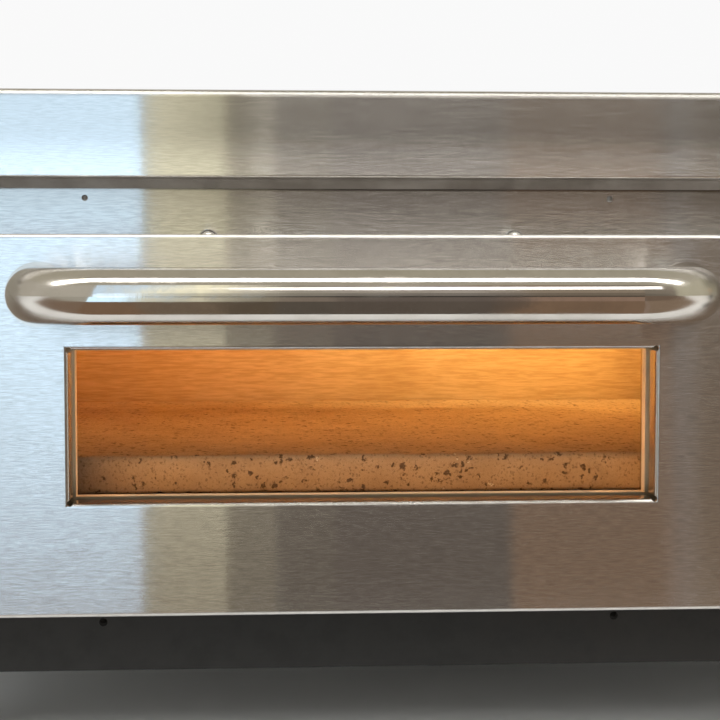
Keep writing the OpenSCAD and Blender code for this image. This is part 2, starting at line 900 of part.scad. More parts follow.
// the fixed body of a rocker switch, with its bezel and the well that the rocker sits in
module switch_body(x) {
  well_h = 2 * (rocker_r + rocker_side);
  well_w = rocker_w + 2 * rocker_side;
  translate([x, y_visor, z_switch]) difference() {
    union() {
      slab([-switch_w / 2, -eps, -switch_h / 2], [switch_w / 2, switch_d, switch_h / 2]);
      slab([-switch_w / 2 - bezel_edge, -bezel_out, -switch_h / 2 - bezel_edge],
        [switch_w / 2 + bezel_edge, 0, switch_h / 2 + bezel_edge]);
    }
    slab([-well_w / 2, -bezel_out - 1, -well_h / 2], [well_w / 2, rocker_deep + rocker_r + 1, well_h / 2]);
    rod_x(rocker_pin_r + run_fit, -well_w / 2 - rocker_pin_len, well_w / 2 + rocker_pin_len, rocker_deep, 0);
  }
}

module switch_bodies() {
  color("black") for (s = [-1, 1]) switch_body(x_knob + s * switch_pitch / 2);
}

// a rocker on two trunnions, tilted one way at rest
module rocker(x, tilt) {
  rise = (rocker_r + 1) * tan(rocker_tilt);
  reach = rocker_r + 1;
  translate([x, y_visor + rocker_deep, z_switch]) rotate([tilt, 0, 0]) {
    rotate([0, -90, 0]) translate([0, 0, -rocker_w / 2]) linear_extrude(rocker_w)
      intersection() {
        circle(rocker_r);
        polygon([
          [-reach, -rocker_mid - rise], [0, -rocker_mid], [reach, -rocker_mid - rise],
          [reach, rocker_back], [-reach, rocker_back]
        ]);
      }
    rod_x(rocker_pin_r, -rocker_w / 2 - rocker_pin_len, rocker_w / 2 + rocker_pin_len, 0, 0);
  }
}

module power_rocker() {
  color("darkred") rocker(x_knob - switch_pitch / 2, -rocker_tilt);
}

module lamp_rocker() {
  color("dimgray") rocker(x_knob + switch_pitch / 2, -rocker_tilt);
}

// a domed pilot lamp through the panel
module pilot(x) {
  translate([x, y_visor, z_pilot]) {
    rod_y(pilot_r, -eps, pilot_len, 0, 0);
    rod_y(pilot_flange_r, -pilot_flange_t, 0, 0, 0);
    intersection() {
      translate([0, -pilot_flange_t + pilot_r * 0.4, 0]) sphere(pilot_r * 1.08);
      rod_y(pilot_r, -pilot_r, -pilot_flange_t / 2, 0, 0);
    }
  }
}

module pilot_lamps() {
  color("orange") for (s = [-1, 1]) pilot(x_knob + s * pilot_pitch / 2);
}

module terminal_block() {
  w = 56;
  d = 22;
  h = 20;
  ways = 5;
  y0 = y_rear - block_back;
  color("ivory") translate([x_knob - w / 2, y0, z_cavity]) difference() {
    cube([w, d, h]);
    for (i = [0 : ways - 1]) translate([(i + 0.5) * w / ways, d / 2, h - 8]) cylinder(r = 3, h = 9);
  }
}

// a screwed gland in the rear panel, for a supply cord
module cable_gland() {
  cap_r = gland_nut_r - 1.5;
  color("dimgray") difference() {
    union() {
      rod_y(gland_r, y_rear - sheet - gland_nut_t, y_rear + gland_hex_t, x_gland, z_gland);
      translate([x_gland, y_rear, z_gland]) rotate([-90, 0, 0])
        cylinder(r = gland_nut_r, h = gland_hex_t, $fn = 6);
      translate([x_gland, y_rear - sheet - gland_nut_t, z_gland]) rotate([-90, 0, 0])
        cylinder(r = gland_nut_r, h = gland_nut_t, $fn = 6);
      translate([x_gland, y_rear + gland_hex_t - eps, z_gland]) rotate([-90, 0, 0])
        cylinder(r1 = cap_r, r2 = cap_r - 3, h = gland_out - gland_hex_t);
    }
    rod_y(gland_bore / 2, y_rear - 30, y_rear + gland_out + 1, x_gland, z_gland);
  }
}

// plates on the case sides that carry the hinge pins and the fixed ends of the springs
module hinge_plates() {
  color("gray") in_oven() both_sides() difference() {
    union() {
      rod_x(nose_r, plate_in, half_inner, y_hinge, z_hinge);
      slab([plate_in, y_hinge, z_hinge - nose_r], [half_inner, y_hinge + anchor_len + nose_r, z_hinge + nose_r]);
    }
    rod_x(pin_r, plate_in - 1, half_inner + 1, y_hinge, z_hinge);
    rod_x(tip_pin_r, plate_in - 1, half_inner + 1, y_hinge + anchor_len, z_hinge);
  }
}

module hinge_pins() {
  color("silver") in_oven() both_sides() {
    rod_x(pin_r, lever_in - pass_fit, half_inner, y_hinge, z_hinge);
    rod_x(tip_pin_r, lever_out + 1, half_inner, y_hinge + anchor_len, z_hinge);
  }
}

// a closed tube of s sides and radius r along a list of points, kept upright
module wire(points, r, s) {
  n = len(points);
  function dir(i) = let (a = points[max(i - 1, 0)], b = points[min(i + 1, n - 1)]) (b - a) / norm(b - a);
  function side(i) = let (c = cross(dir(i), [0.31, 0.52, 0.79])) c / norm(c);
  rings = [for (i = [0 : n - 1]) let (u = side(i), v = cross(dir(i), u))
    for (k = [0 : s - 1]) points[i] + r * (cos(360 * k / s) * u + sin(360 * k / s) * v)];
  walls = [for (i = [0 : n - 2], k = [0 : s - 1])
    let (a = i * s + k, b = i * s + (k + 1) % s, half = [[a, a + s, b + s], [a, b + s, b]])
    each half];
  cap0 = [for (k = [0 : s - 1]) k];
  cap1 = [for (k = [s - 1 : -1 : 0]) (n - 1) * s + k];
  polyhedron(rings, concat(walls, [cap0], [cap1]), convexity = 8);
}

// the spring path, from over the lever pin to over the anchor pin
coil_steps = 10;
coil_lead = 7;
coil_y0 = y_hinge + lever_len + coil_lead;
coil_y1 = y_hinge + anchor_len - coil_lead;
spring_path = concat(
  [[x_spring, coil_y0 - 2 * coil_lead + 2, z_hinge + spring_r]],
  [for (i = [0 : spring_turns * coil_steps])
    let (a = 360 * i / coil_steps, f = i / (spring_turns * coil_steps))
    [x_spring + spring_r * sin(a), coil_y0 + f * (coil_y1 - coil_y0), z_hinge + spring_r * cos(a)]],
  [[x_spring, coil_y1 + 2 * coil_lead - 2, z_hinge + spring_r]]
);
coil_gap = (coil_y1 - coil_y0) / spring_turns - 2 * wire_r;
echo(least_gap_between_spring_coils = coil_gap);

module door_springs() {
  color("silver") in_oven() both_sides() wire(spring_path, wire_r, 6);
}

// the folded outer skin of the door, with the window lip turned in
module door_outer_panel() {
  lip_t = 1;
  corner_r = 1.4;
  roll = door_bend;
  color("gainsboro") in_oven() difference() {
    union() {
      translate([0, y_skin, z_door + door_h / 2]) tray(door_w, door_h, door_t, sheet, door_bend);
      translate([0, y_skin, z_win]) {
        slab([-window_w / 2 - lip_t, sheet / 2, -window_h / 2 - lip_t],
          [window_w / 2 + lip_t, window_lip, window_h / 2 + lip_t]);
        slab([-window_w / 2 - lip_t - roll, sheet / 2, -window_h / 2 - lip_t - roll],
          [window_w / 2 + lip_t + roll, roll + lip_t, window_h / 2 + lip_t + roll]);
      }
    }
    translate([0, y_skin, z_win]) rolled_window(window_w, window_h, door_t, roll);
    for (sx = [-1, 1], sz = [-1, 1])
      rod_y(corner_r, y_skin - 1, y_skin + window_lip + 1, sx * window_w / 2, z_win + sz * window_h / 2);
    for (s = [-1, 1]) {
      rod_y(bolt_r + pass_fit, y_skin - 1, y_skin + 2 * sheet, s * half_span, z_handle);
      rod_z(screw_r + pass_fit, z_door_top - 2 * sheet, z_door_top + 1, s * door_screw_x, y_seat - screw_back);
      rod_z(screw_r + pass_fit, z_door - 1, z_door + 2 * sheet, s * door_screw_x, y_seat - screw_back);
      rod_x(bush_r, s * half_door - 3, s * half_door + 3, y_hinge, z_hinge);
    }
  }
}

// the inner sheet, with a flange along its top and bottom and a rim round the glass
module door_inner_panel() {
  half = lever_in - 1;
  low = z_door + sheet + nest_fit;
  high = z_door_top - sheet - nest_fit;
  color("lightgray") in_oven() difference() {
    union() {
      slab([-half, y_seat - sheet, low], [half, y_seat, high]);
      slab([-half, y_seat - flange_in, low], [half, y_seat, low + sheet]);
      slab([-half, y_seat - flange_in, high - sheet], [half, y_seat, high]);
      translate([0, y_seat - sheet - inner_rim, z_win])
        slab([-pane_w / 2, 0, -pane_h / 2], [pane_w / 2, inner_rim + sheet, pane_h / 2]);
    }
    translate([0, 0, z_win]) slab([-window_w / 2, y_skin, -window_h / 2], [window_w / 2, y_seat + 1, window_h / 2]);
    for (s = [-1, 1]) {
      rod_z(screw_r + pass_fit, high - 2 * sheet, high + 1, s * door_screw_x, y_seat - screw_back);
      rod_z(screw_r + pass_fit, low - 1, low + 2 * sheet, s * door_screw_x, y_seat - screw_back);
    }
  }
}

module door_insulation() {
  edge = sheet + nest_fit + sheet + nest_fit;
  half = lever_in - 1;
  color("khaki") in_oven() difference() {
    slab([-half, y_skin + sheet, z_door + edge], [half, y_seat - sheet, z_door_top - edge]);
    slab([-pane_w / 2 - nest_fit, y_skin, z_win - pane_h / 2 - nest_fit],
      [pane_w / 2 + nest_fit, y_seat + 1, z_win + pane_h / 2 + nest_fit]);
    for (s = [-1, 1]) {
      rod_y(bolt_pocket, y_skin, y_skin + sheet + bolt_head_t + 1, s * half_span, z_handle);
      rod_z(screw_r + pass_fit, z_door_top - edge - screw_len, z_door_top, s * door_screw_x, y_seat - screw_back);
      rod_z(screw_r + pass_fit, z_door, z_door + edge + screw_len, s * door_screw_x, y_seat - screw_back);
    }
  }
}

module glass_panes() {
  color("lightblue") in_oven() for (y = [y_pane, y_inner]) translate([0, y, z_win])
    slab([-pane_w / 2, 0, -pane_h / 2], [pane_w / 2, glass_t, pane_h / 2]);
}

module glass_spacer() {
  hw = window_w / 2 - spacer_show;
  hh = window_h / 2 - spacer_show;
  color("gray") in_oven() translate([0, 0, z_win]) difference() {
    slab([-pane_w / 2, y_pane + glass_t, -pane_h / 2], [pane_w / 2, y_inner, pane_h / 2]);
    slab([-hw, y_skin, -hh], [hw, y_seat, hh]);
  }
}

// the bent handle tube, from hollow lengths set end to end
module door_handle() {
  leg = handle_out - handle_bend;
  bar = handle_span - 2 * handle_bend;
  module ring() {
    difference() {
      circle(tube_r);
      circle(bore_r);
    }
  }
  color("white") in_oven() translate([0, y_skin, z_handle]) union() {
    for (s = [-1, 1]) translate([s * half_span, 0, 0]) rotate([90, 0, 0]) linear_extrude(leg) ring();
    translate([half_span - handle_bend, -leg, 0]) rotate([0, 0, -90])
      rotate_extrude(angle = 90) translate([handle_bend, 0]) ring();
    translate([handle_bend - half_span, -leg, 0]) rotate([0, 0, 180])
      rotate_extrude(angle = 90) translate([handle_bend, 0]) ring();
    translate([-bar / 2, -handle_out, 0]) rotate([0, 90, 0]) linear_extrude(bar) ring();
  }
}

module handle_collars() {
  color("white") in_oven() for (s = [-1, 1]) translate([s * half_span, y_skin, z_handle]) difference() {
    rod_y(collar_r, -collar_t, 0, 0, 0);
    rod_y(tube_r + run_fit, -collar_t - 1, 1, 0, 0);
  }
}

// a bolt from inside the door into a plug in each end of the tube
module handle_bolts() {
  color("silver") in_oven() for (s = [-1, 1]) translate([s * half_span, y_skin, z_handle]) {
    rod_y(bore_r - run_fit, -plug_t, 0, 0, 0);
    rod_y(bolt_r, -plug_t, sheet + eps, 0, 0);
    translate([0, sheet, 0]) rotate([-90, 0, 0]) cylinder(r = bolt_head_r, h = bolt_head_t, $fn = 6);
  }
}

module door_screws() {
  head_r = 4.6;
  head_h = 2.8;
  color("silver") in_oven() for (s = [-1, 1]) {
    translate([s * door_screw_x, y_seat - screw_back, z_door_top]) rotate([-90, 0, 0])
      dome_screw(screw_r, head_r, head_h, screw_len);
    translate([s * door_screw_x, y_seat - screw_back, z_door]) rotate([90, 0, 0])
      dome_screw(screw_r, head_r, head_h, screw_len);
  }
}

module hinge_bushes() {
  color("peru") in_oven() both_sides() difference() {
    union() {
      rod_x(bush_r, lever_in, half_door, y_hinge, z_hinge);
      rod_x(bush_collar_r, half_door, plate_in - collar_gap, y_hinge, z_hinge);
    }
    rod_x(pin_r + run_fit, lever_in - 1, half_inner, y_hinge, z_hinge);
  }
}

// levers on the door that pass back into the case and stretch the springs
module door_levers() {
  color("gray") in_oven() both_sides() difference() {
    union() {
      rod_x(boss_r, lever_in, lever_out, y_hinge, z_hinge);
      rod_x(tip_r, lever_in, lever_out, y_hinge + lever_len, z_hinge);
      rod_x(tip_pin_r, lever_in + lever_t / 2, plate_in - 1, y_hinge + lever_len, z_hinge);
      slab([lever_in, y_hinge, z_hinge - tip_r], [lever_out, y_hinge + lever_len, z_hinge + tip_r]);
      slab([lever_in, y_skin + 2 * sheet, z_hinge], [lever_out, y_seat - 2 * sheet, z_hinge + leg_h]);
    }
    rod_x(bush_r, lever_in - 1, lever_out + 1, y_hinge, z_hinge);
    slab([lever_in - 1, y_skin, z_door - boss_r], [lever_out + 1, y_seat, z_door + 1.5 * sheet]);
  }
}

base_pan();
kick_plate();
left_side_panel();
right_side_panel();
rear_panel();
top_cover();
front_header();
front_posts();
front_sill();
compartment_wall();
control_panel();
rubber_feet();
foot_screws();
case_screws();
header_rivets();
door_gasket();
side_insulation();
top_insulation();
back_insulation();
floor_insulation();
chamber_supports();
chamber_side_walls();
chamber_back_wall();
chamber_roof();
chamber_floor();
stone_rails();
baking_stone();
upper_element();
lower_element();
element_hangers();
temperature_probes();
lamp_socket();
lamp_bulb();
lamp_glass();
lamp_bezel();
thermostats();
switch_bodies();
pilot_lamps();
terminal_block();
cable_gland();
hinge_plates();
hinge_pins();
door_springs();
door_outer_panel();
door_inner_panel();
door_insulation();
glass_panes();
glass_spacer();
door_handle();
handle_collars();
handle_bolts();
door_screws();
hinge_bushes();
door_levers();
upper_knob();
lower_knob();
upper_spindle();
lower_spindle();
power_rocker();
lamp_rocker();
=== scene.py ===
"""Looks of a countertop electric pizza oven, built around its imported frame.

Each sub-assembly is a class that dresses the frame's nodes and adds the pieces that the solids
leave plain: the fired stone's pits, the braided seal, the coil springs and the dial markings.
All lengths are in metres, in the frame's own axes: +X right, +Y back, +Z up.
"""

import logging
import math
from collections.abc import Callable, Iterable, Sequence
from dataclasses import dataclass, replace
from enum import Enum

import bmesh
import bpy
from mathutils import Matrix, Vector, noise


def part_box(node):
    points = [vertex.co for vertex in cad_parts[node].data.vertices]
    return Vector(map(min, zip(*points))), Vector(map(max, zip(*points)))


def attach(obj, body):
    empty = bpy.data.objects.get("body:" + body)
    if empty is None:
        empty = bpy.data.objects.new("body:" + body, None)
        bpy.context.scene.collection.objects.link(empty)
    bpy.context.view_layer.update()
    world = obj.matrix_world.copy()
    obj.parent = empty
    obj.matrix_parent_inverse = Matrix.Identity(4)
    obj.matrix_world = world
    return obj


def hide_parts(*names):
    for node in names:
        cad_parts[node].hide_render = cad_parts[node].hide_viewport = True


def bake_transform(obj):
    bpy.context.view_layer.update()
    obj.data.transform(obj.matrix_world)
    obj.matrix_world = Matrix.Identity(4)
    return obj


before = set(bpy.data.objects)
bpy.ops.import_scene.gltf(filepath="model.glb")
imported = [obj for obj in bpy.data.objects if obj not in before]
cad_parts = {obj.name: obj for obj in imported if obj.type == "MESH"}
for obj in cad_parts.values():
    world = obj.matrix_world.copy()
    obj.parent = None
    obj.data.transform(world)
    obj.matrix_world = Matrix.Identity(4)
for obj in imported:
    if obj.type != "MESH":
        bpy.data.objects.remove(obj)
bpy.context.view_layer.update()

LOG = logging.getLogger("pizza_oven")
CASE = "case"

Colour = tuple[float, float, float]
Point = tuple[float, float, float]
Node = bpy.types.Node
Socket = bpy.types.NodeSocket
Sockets = bpy.types.bpy_prop_collection


class GrainRun(Enum):
    """The direction in which a sheet was brushed, a little off the axes so that it never meets a normal."""

    ALONG_X = (1.0, 0.013, 0.007)
    ALONG_Y = (0.013, 1.0, 0.007)


class Wiring:
    """Adds nodes to one node tree and links them."""

    def __init__(self, tree: bpy.types.NodeTree) -> None:
        """Keeps the tree to work on."""
        self.tree = tree

    def add(self, kind: str, **settings: object) -> Node:
        """Adds a node.

        Args:
            kind: the node's type name, without ShaderNode in front.
            settings: properties to set on it.

        Returns:
            The new node.
        """
        node = self.tree.nodes.new(f"ShaderNode{kind}")
        for name, value in settings.items():
            setattr(node, name, value)
        return node

    def feed(self, socket: Socket, value: object) -> None:
        """Links a socket to an input, or sets the input to a plain value.

        Args:
            socket: the input.
            value: a socket, a number, a vector or a colour.
        """
        if isinstance(value, Socket):
            self.tree.links.new(value, socket)
        elif isinstance(value, tuple) and socket.type == "RGBA":
            socket.default_value = (*value[:3], 1.0)
        else:
            socket.default_value = value

    def fill(self, node: Node, **values: object) -> Sockets:
        """Feeds a node's inputs by name.

        Args:
            node: the node.
            values: sockets or plain values, each under its input's name with _ for a space.

        Returns:
            The node's outputs.
        """
        for name, value in values.items():
            self.feed(node.inputs[name.replace("_", " ")], value)
        return node.outputs

    def _work_out(self, kind: str, operation: str, values: Sequence[object]) -> Socket:
        """Adds a node that works something out, and feeds its inputs in order.

        Args:
            kind: the node's type name, without ShaderNode in front.
            operation: what it does.
            values: sockets or plain values.

        Returns:
            The result's socket.
        """
        node = self.add(kind, operation=operation)
        for socket, value in zip(node.inputs, values):
            self.feed(socket, value)
        return node.outputs[0]

    def calc(self, operation: str, *values: object) -> Socket:
        """Works out a number from one to three others.

        Args:
            operation: the Math node's operation.
            values: sockets or numbers.

        Returns:
            The result's socket.
        """
        return self._work_out("Math", operation, values)

    def vector(self, operation: str, *values: object) -> Socket:
        """Works out a vector from one or two others.

        Args:
            operation: the Vector Math node's operation.
            values: sockets or vectors.

        Returns:
            The result's socket.
        """
        return self._work_out("VectorMath", operation, values)

    def scaled(self, vector: Socket, factor: Socket) -> Socket:
        """Returns a vector times a number."""
        return self.fill(self.add("VectorMath", operation="SCALE"), Vector=vector, Scale=factor)[0]

    def turned(self, vector: Socket, axis: Point, angle: float) -> Socket:
        """Returns a vector turned round an axis by an angle in radians."""
        node = self.add("VectorRotate", rotation_type="AXIS_ANGLE")
        return self.fill(node, Vector=vector, Axis=axis, Angle=angle)[0]

    def split(self, vector: Socket) -> Sockets:
        """Returns the X, Y and Z of a vector."""
        return self.fill(self.add("SeparateXYZ"), Vector=vector)

    def noise(self, vector: Socket, scale: object, detail: float = 2.0, rough: float = 0.5) -> Sockets:
        """Adds a noise texture.

        Args:
            vector: where it is read.
            scale: its frequency, per metre.
            detail: how many octaves it has.
            rough: how strong the finer octaves are.

        Returns:
            Its outputs: a number from 0 to 1, and a colour.
        """
        return self.fill(self.add("TexNoise"), Vector=vector, Scale=scale, Detail=detail, Roughness=rough)

    def spread(self, value: Socket, low: object, high: object, to_low: float = 0.0, to_high: float = 1.0) -> Socket:
        """Maps a range of numbers to another, smoothly and within its ends.

        Args:
            value: the number to map.
            low: where the range starts.
            high: where it ends.
            to_low: what the start becomes.
            to_high: what the end becomes.

        Returns:
            The mapped number's socket.
        """
        node = self.add("MapRange", interpolation_type="SMOOTHSTEP")
        for socket, number in zip(node.inputs, (value, low, high, to_low, to_high)):
            self.feed(socket, number)
        return node.outputs[0]

    def blend(self, share: Socket, first: object, second: object) -> Socket:
        """Mixes two colours.

        Args:
            share: how much of the second one, from 0 to 1.
            first: a colour or its socket.
            second: a colour or its socket.

        Returns:
            The mixed colour's socket.
        """
        node = self.add("Mix", data_type="RGBA")
        share_in, first_in, second_in = node.inputs[0], node.inputs[6], node.inputs[7]
        for socket, value in ((share_in, share), (first_in, first), (second_in, second)):
            self.feed(socket, value)
        return node.outputs[2]

    def place(self) -> Socket:
        """Returns the surface point in the frame's metres."""
        return self.add("TexCoord").outputs["Object"]

    def facing(self) -> Socket:
        """Returns the surface's normal."""
        return self.add("NewGeometry").outputs["Normal"]

    def bump(self, height: Socket, relief: float) -> Socket:
        """Turns a height into a normal.

        Args:
            height: the height, from 0 to 1.
            relief: how high 1 is, in metres.

        Returns:
            The normal's socket.
        """
        return self.fill(self.add("Bump"), Strength=1.0, Distance=relief, Height=height)[0]

    def group(self, effect: "Effect", **inputs: object) -> Sockets:
        """Places a shared effect, feeds its inputs by name and returns its outputs."""
        return self.fill(self.add("Group", node_tree=effect.tree()), **inputs)


class Effect:
    """A shader effect that several finishes share, built once as a node group.

    It decorates the function that wires it, which is given the wiring and the group's inputs and
    returns the group's outputs.
    """

    def __init__(self, points: str, numbers: str, results: str) -> None:
        """Takes the sockets' names.

        Args:
            points: the vector inputs.
            numbers: the number inputs, which follow them.
            results: the outputs, which are numbers.
        """
        self.inputs = [*((name, "Vector") for name in points.split()), *((name, "Float") for name in numbers.split())]
        self.results = results.split()
        self.built: bpy.types.NodeTree | None = None

    def __call__(self, wire: Callable[..., Sequence[Socket]]) -> "Effect":
        """Takes the function that wires the group."""
        self.wire = wire
        return self

    def tree(self) -> bpy.types.NodeTree:
        """Builds the node group the first time that it is asked for.

        Returns:
            The group.
        """
        if self.built is None:
            self.built = tree = bpy.data.node_groups.new(self.wire.__name__, "ShaderNodeTree")
            for name, kind in self.inputs:
                tree.interface.new_socket(name, in_out="INPUT", socket_type=f"NodeSocket{kind}")
            for name in self.results:
                tree.interface.new_socket(name, in_out="OUTPUT", socket_type="NodeSocketFloat")
            wiring = Wiring(tree)
            given, out = tree.nodes.new("NodeGroupInput"), tree.nodes.new("NodeGroupOutput")
            made = self.wire(wiring, *(given.outputs[name] for name, _ in self.inputs))
            for name, value in zip(self.results, made):
                wiring.feed(out.inputs[name], value)
        return self.built


@Effect("Point", "Fineness", "Tilt Streak Smudge")
def brushed_grain(wiring: Wiring, point: Socket, fineness: Socket) -> tuple[Socket, Socket, Socket]:
    """Wires fine scratches along the X of the point.

    Args:
        wiring: the group's wiring.
        point: where on the surface.
        fineness: how many scratches a metre has.

    Returns:
        Tilt, which is how far a scratch leans, Streak and Smudge.
    """
    hair_stretch, hair_fineness = 0.00015, 128.0
    ripple_stretch, ripple_fineness, sway_share = 0.09, 0.7, 0.018
    skew_axis, skew_angle = (0.3, 1.0, 0.6), 0.7
    smudge_scale = 9.0
    hair_lines = wiring.vector("MULTIPLY", point, (hair_stretch, 1.0, 1.0))
    short_lines = wiring.vector("MULTIPLY", point, (ripple_stretch, 1.0, 1.0))
    skewed = wiring.turned(hair_lines, skew_axis, skew_angle)
    hairs = wiring.noise(skewed, wiring.calc("MULTIPLY", fineness, hair_fineness), 1.0)[0]
    ripples = wiring.noise(short_lines, wiring.calc("MULTIPLY", fineness, ripple_fineness), 3.0, 0.6)[0]
    lean = wiring.calc("SUBTRACT", hairs, 0.5)
    sway = wiring.calc("MULTIPLY", wiring.calc("SUBTRACT", ripples, 0.5), sway_share)
    smudge = wiring.spread(wiring.noise(point, smudge_scale, 4.0, 0.6)[0], 0.45, 0.75)
    return wiring.calc("ADD", lean, sway), wiring.spread(ripples, 0.3, 0.7), smudge


@Effect("Point", "Scale", "Patch Grit")
def mottle(wiring: Wiring, point: Socket, scale: Socket) -> tuple[Socket, Socket]:
    """Wires cloudy patches.

    Args:
        wiring: the group's wiring.
        point: where on the surface.
        scale: how many patches a metre has.

    Returns:
        A Patch mask and finer Grit.
    """
    grit_fineness = 16.0
    patch = wiring.noise(point, scale, 5.0, 0.6)[0]
    grit = wiring.noise(point, wiring.calc("MULTIPLY", scale, grit_fineness), 3.0, 0.6)[0]
    return wiring.spread(patch, 0.35, 0.68), grit


@Effect("Point", "Scale Size Share", "Speck")
def speckle(wiring: Wiring, point: Socket, scale: Socket, size: Socket, share: Socket) -> tuple[Socket]:
    """Wires small ragged specks, spread unevenly.

    Args:
        wiring: the group's wiring.
        point: where on the surface.
        scale: how many cells a metre has.
        size: how far a speck reaches in its cell.
        share: how many cells have a speck.

    Returns:
        A Speck mask.
    """
    wobble_fineness, wobble_reach, solid_share = 1.1, 2.2, 0.6
    wobble = wiring.noise(point, wiring.calc("MULTIPLY", scale, wobble_fineness), 4.0, 0.65)["Color"]
    shift = wiring.scaled(wobble, wiring.calc("DIVIDE", wobble_reach, scale))
    cell = wiring.fill(wiring.add("TexVoronoi"), Vector=wiring.vector("ADD", point, shift), Scale=scale)
    dot = wiring.spread(cell["Distance"], wiring.calc("MULTIPLY", size, solid_share), size, 1.0, 0.0)
    lot = wiring.fill(wiring.add("SeparateColor"), Color=cell["Color"])[0]
    return (wiring.calc("MULTIPLY", dot, wiring.calc("LESS_THAN", lot, share)),)


@Effect("Point", "", "Dust")
def settled_dust(wiring: Wiring, point: Socket) -> tuple[Socket]:
    """Wires dust that settles on what faces up.

    Args:
        wiring: the group's wiring.
        point: where on the surface.

    Returns:
        A Dust mask.
    """
    dust_scale = 40.0
    level = wiring.spread(wiring.split(wiring.facing())["Z"], 0.3, 1.0)
    cloud = wiring.spread(wiring.noise(point, dust_scale, 6.0, 0.65)[0], 0.4, 0.8)
    return (wiring.calc("MULTIPLY", level, cloud),)


@Effect("Point Facing", "Low High", "Haze Grease")
def films(wiring: Wiring, point: Socket, facing: Socket, low: Socket, high: Socket) -> tuple[Socket, Socket]:
    """Wires painted shade: darkening on what faces down, and darkening that thickens up a front face.

    Args:
        wiring: the group's wiring.
        point: where on the surface.
        facing: the surface's normal.
        low: where the painted shade up a front face starts.
        high: where it is full.

    Returns:
        Two painted shade masks: the first up a front face, the second under what faces down.
    """
    cloud_scale = 30.0
    way = wiring.split(facing)
    rise = wiring.spread(wiring.split(point)["Z"], low, high)
    haze = wiring.calc("MULTIPLY", wiring.spread(way["Y"], -0.4, -0.8), rise)
    cloud = wiring.spread(wiring.noise(point, cloud_scale, 4.0, 0.6)[0], 0.2, 0.8, 0.85, 1.0)
    return haze, wiring.calc("MULTIPLY", wiring.spread(way["Z"], -0.3, -0.6), cloud)


@Effect("Point", "Scale", "Height Shade")
def fibres(wiring: Wiring, point: Socket, scale: Socket) -> tuple[Socket, Socket]:
    """Wires matted fibres in two directions.

    Args:
        wiring: the group's wiring.
        point: where on the surface.
        scale: how many fibres a metre has.

    Returns:
        Height and a Shade mask.
    """
    bend_scale, bend_reach = 60.0, (0.006, 0.006, 0.006)
    bend = wiring.noise(point, bend_scale)[0]
    bent = wiring.vector("ADD", point, wiring.vector("MULTIPLY", bend, bend_reach))
    lying, standing = (wiring.noise(wiring.vector("MULTIPLY", bent, stretch), scale, 3.0)[0]
                       for stretch in ((0.15, 1.0, 1.0), (1.0, 0.2, 0.2)))
    height = wiring.calc("MAXIMUM", lying, standing)
    return height, wiring.spread(height, 0.4, 0.75)


@dataclass(frozen=True)
class Finish:
    """A surface finish, which becomes one material the first time that it is used."""

    name: str

    def material(self) -> bpy.types.Material:
        """Builds the finish's material the first time that it is asked for.

        Returns:
            The material.
        """
        title = f"look_{self.name}"
        found = bpy.data.materials.get(title)
        if found is not None:
            return found
        made = bpy.data.materials.new(title)
        made.use_nodes = True
        wiring = Wiring(made.node_tree)
        wiring.fill(made.node_tree.nodes["Principled BSDF"], **self.wire(wiring))
        return made

    def wire(self, wiring: Wiring) -> dict[str, object]:
        """Builds the finish's nodes.

        Args:
            wiring: the material's wiring.

        Returns:
            What the inputs of its Principled BSDF get, each under its name with _ for a space.
        """
        raise NotImplementedError


@dataclass(frozen=True)
class BrushedSteel(Finish):
    """Sheet steel brushed in one direction."""

    tint: Colour = (0.705, 0.69, 0.67)
    shade: Colour = (0.59, 0.575, 0.555)
    stain: Colour = (0.56, 0.52, 0.46)
    stain_share: float = 0.12
    gloss: float = 0.075
    dull: float = 0.10
    anisotropy: float = 1.0
    metal: float = 1.0
    run: GrainRun = GrainRun.ALONG_X
    fineness: float = 2600.0
    lean: float = 1.2
    # Painted shade: a dark tint on what faces down, and a grey tint that darkens a front face towards its top, from the
    # low mark to the high mark and less at the left. The extra roughness underneath is real.
    grease: Colour = (0.125, 0.112, 0.10)
    haze: Colour = (0.40, 0.39, 0.37)
    haze_from: float = 0.0
    haze_to: float = 0.0
    haze_thin_at: float = -0.18
    haze_thick_at: float = -0.12
    haze_least: float = 0.5
    grease_rough: float = 0.38

    def wire(self, wiring: Wiring) -> dict[str, object]:
        """Builds streaks, smudges, painted shade, scratches that lean across the grain, and a stretched gloss.

        Args:
            wiring: the material\'s wiring.

        Returns:
            What the shader's inputs get.
        """
        place, facing = wiring.place(), wiring.facing()
        point = place
        if self.run is GrainRun.ALONG_Y:
            point = wiring.turned(place, (0.0, 0.0, 1.0), math.radians(90))
        grain = wiring.group(brushed_grain, Point=point, Fineness=self.fineness)
        colour = wiring.blend(grain["Streak"], self.shade, self.tint)
        colour = wiring.blend(wiring.calc("MULTIPLY", grain["Smudge"], self.stain_share), colour, self.stain)
        rough = wiring.spread(grain["Smudge"], 0.0, 1.0, self.gloss, self.dull)
        # Painted shade: the front face darkens towards its top, less so at the left, and what faces down darkens.
        if self.haze_to > self.haze_from:
            painted_shading = wiring.group(films, Point=place, Facing=facing, Low=self.haze_from, High=self.haze_to)
            aside = wiring.split(place)["X"]
            share = wiring.spread(aside, self.haze_thin_at, self.haze_thick_at, self.haze_least, 1.0)
            colour = wiring.blend(wiring.calc("MULTIPLY", painted_shading["Haze"], share), colour, self.haze)
            colour = wiring.blend(painted_shading["Grease"], colour, self.grease)
            rough = wiring.calc("MAXIMUM", rough, wiring.calc("MULTIPLY", painted_shading["Grease"], self.grease_rough))
        across = wiring.vector("NORMALIZE", wiring.vector("CROSS_PRODUCT", facing, self.run.value))
        leaning = wiring.scaled(across, wiring.calc("MULTIPLY", grain["Tilt"], self.lean))
        normal = wiring.vector("NORMALIZE", wiring.vector("ADD", facing, leaning))
        return {"Base_Color": colour, "Roughness": rough, "Metallic": self.metal, "Anisotropic": self.anisotropy,
                "Tangent": across, "Normal": normal}


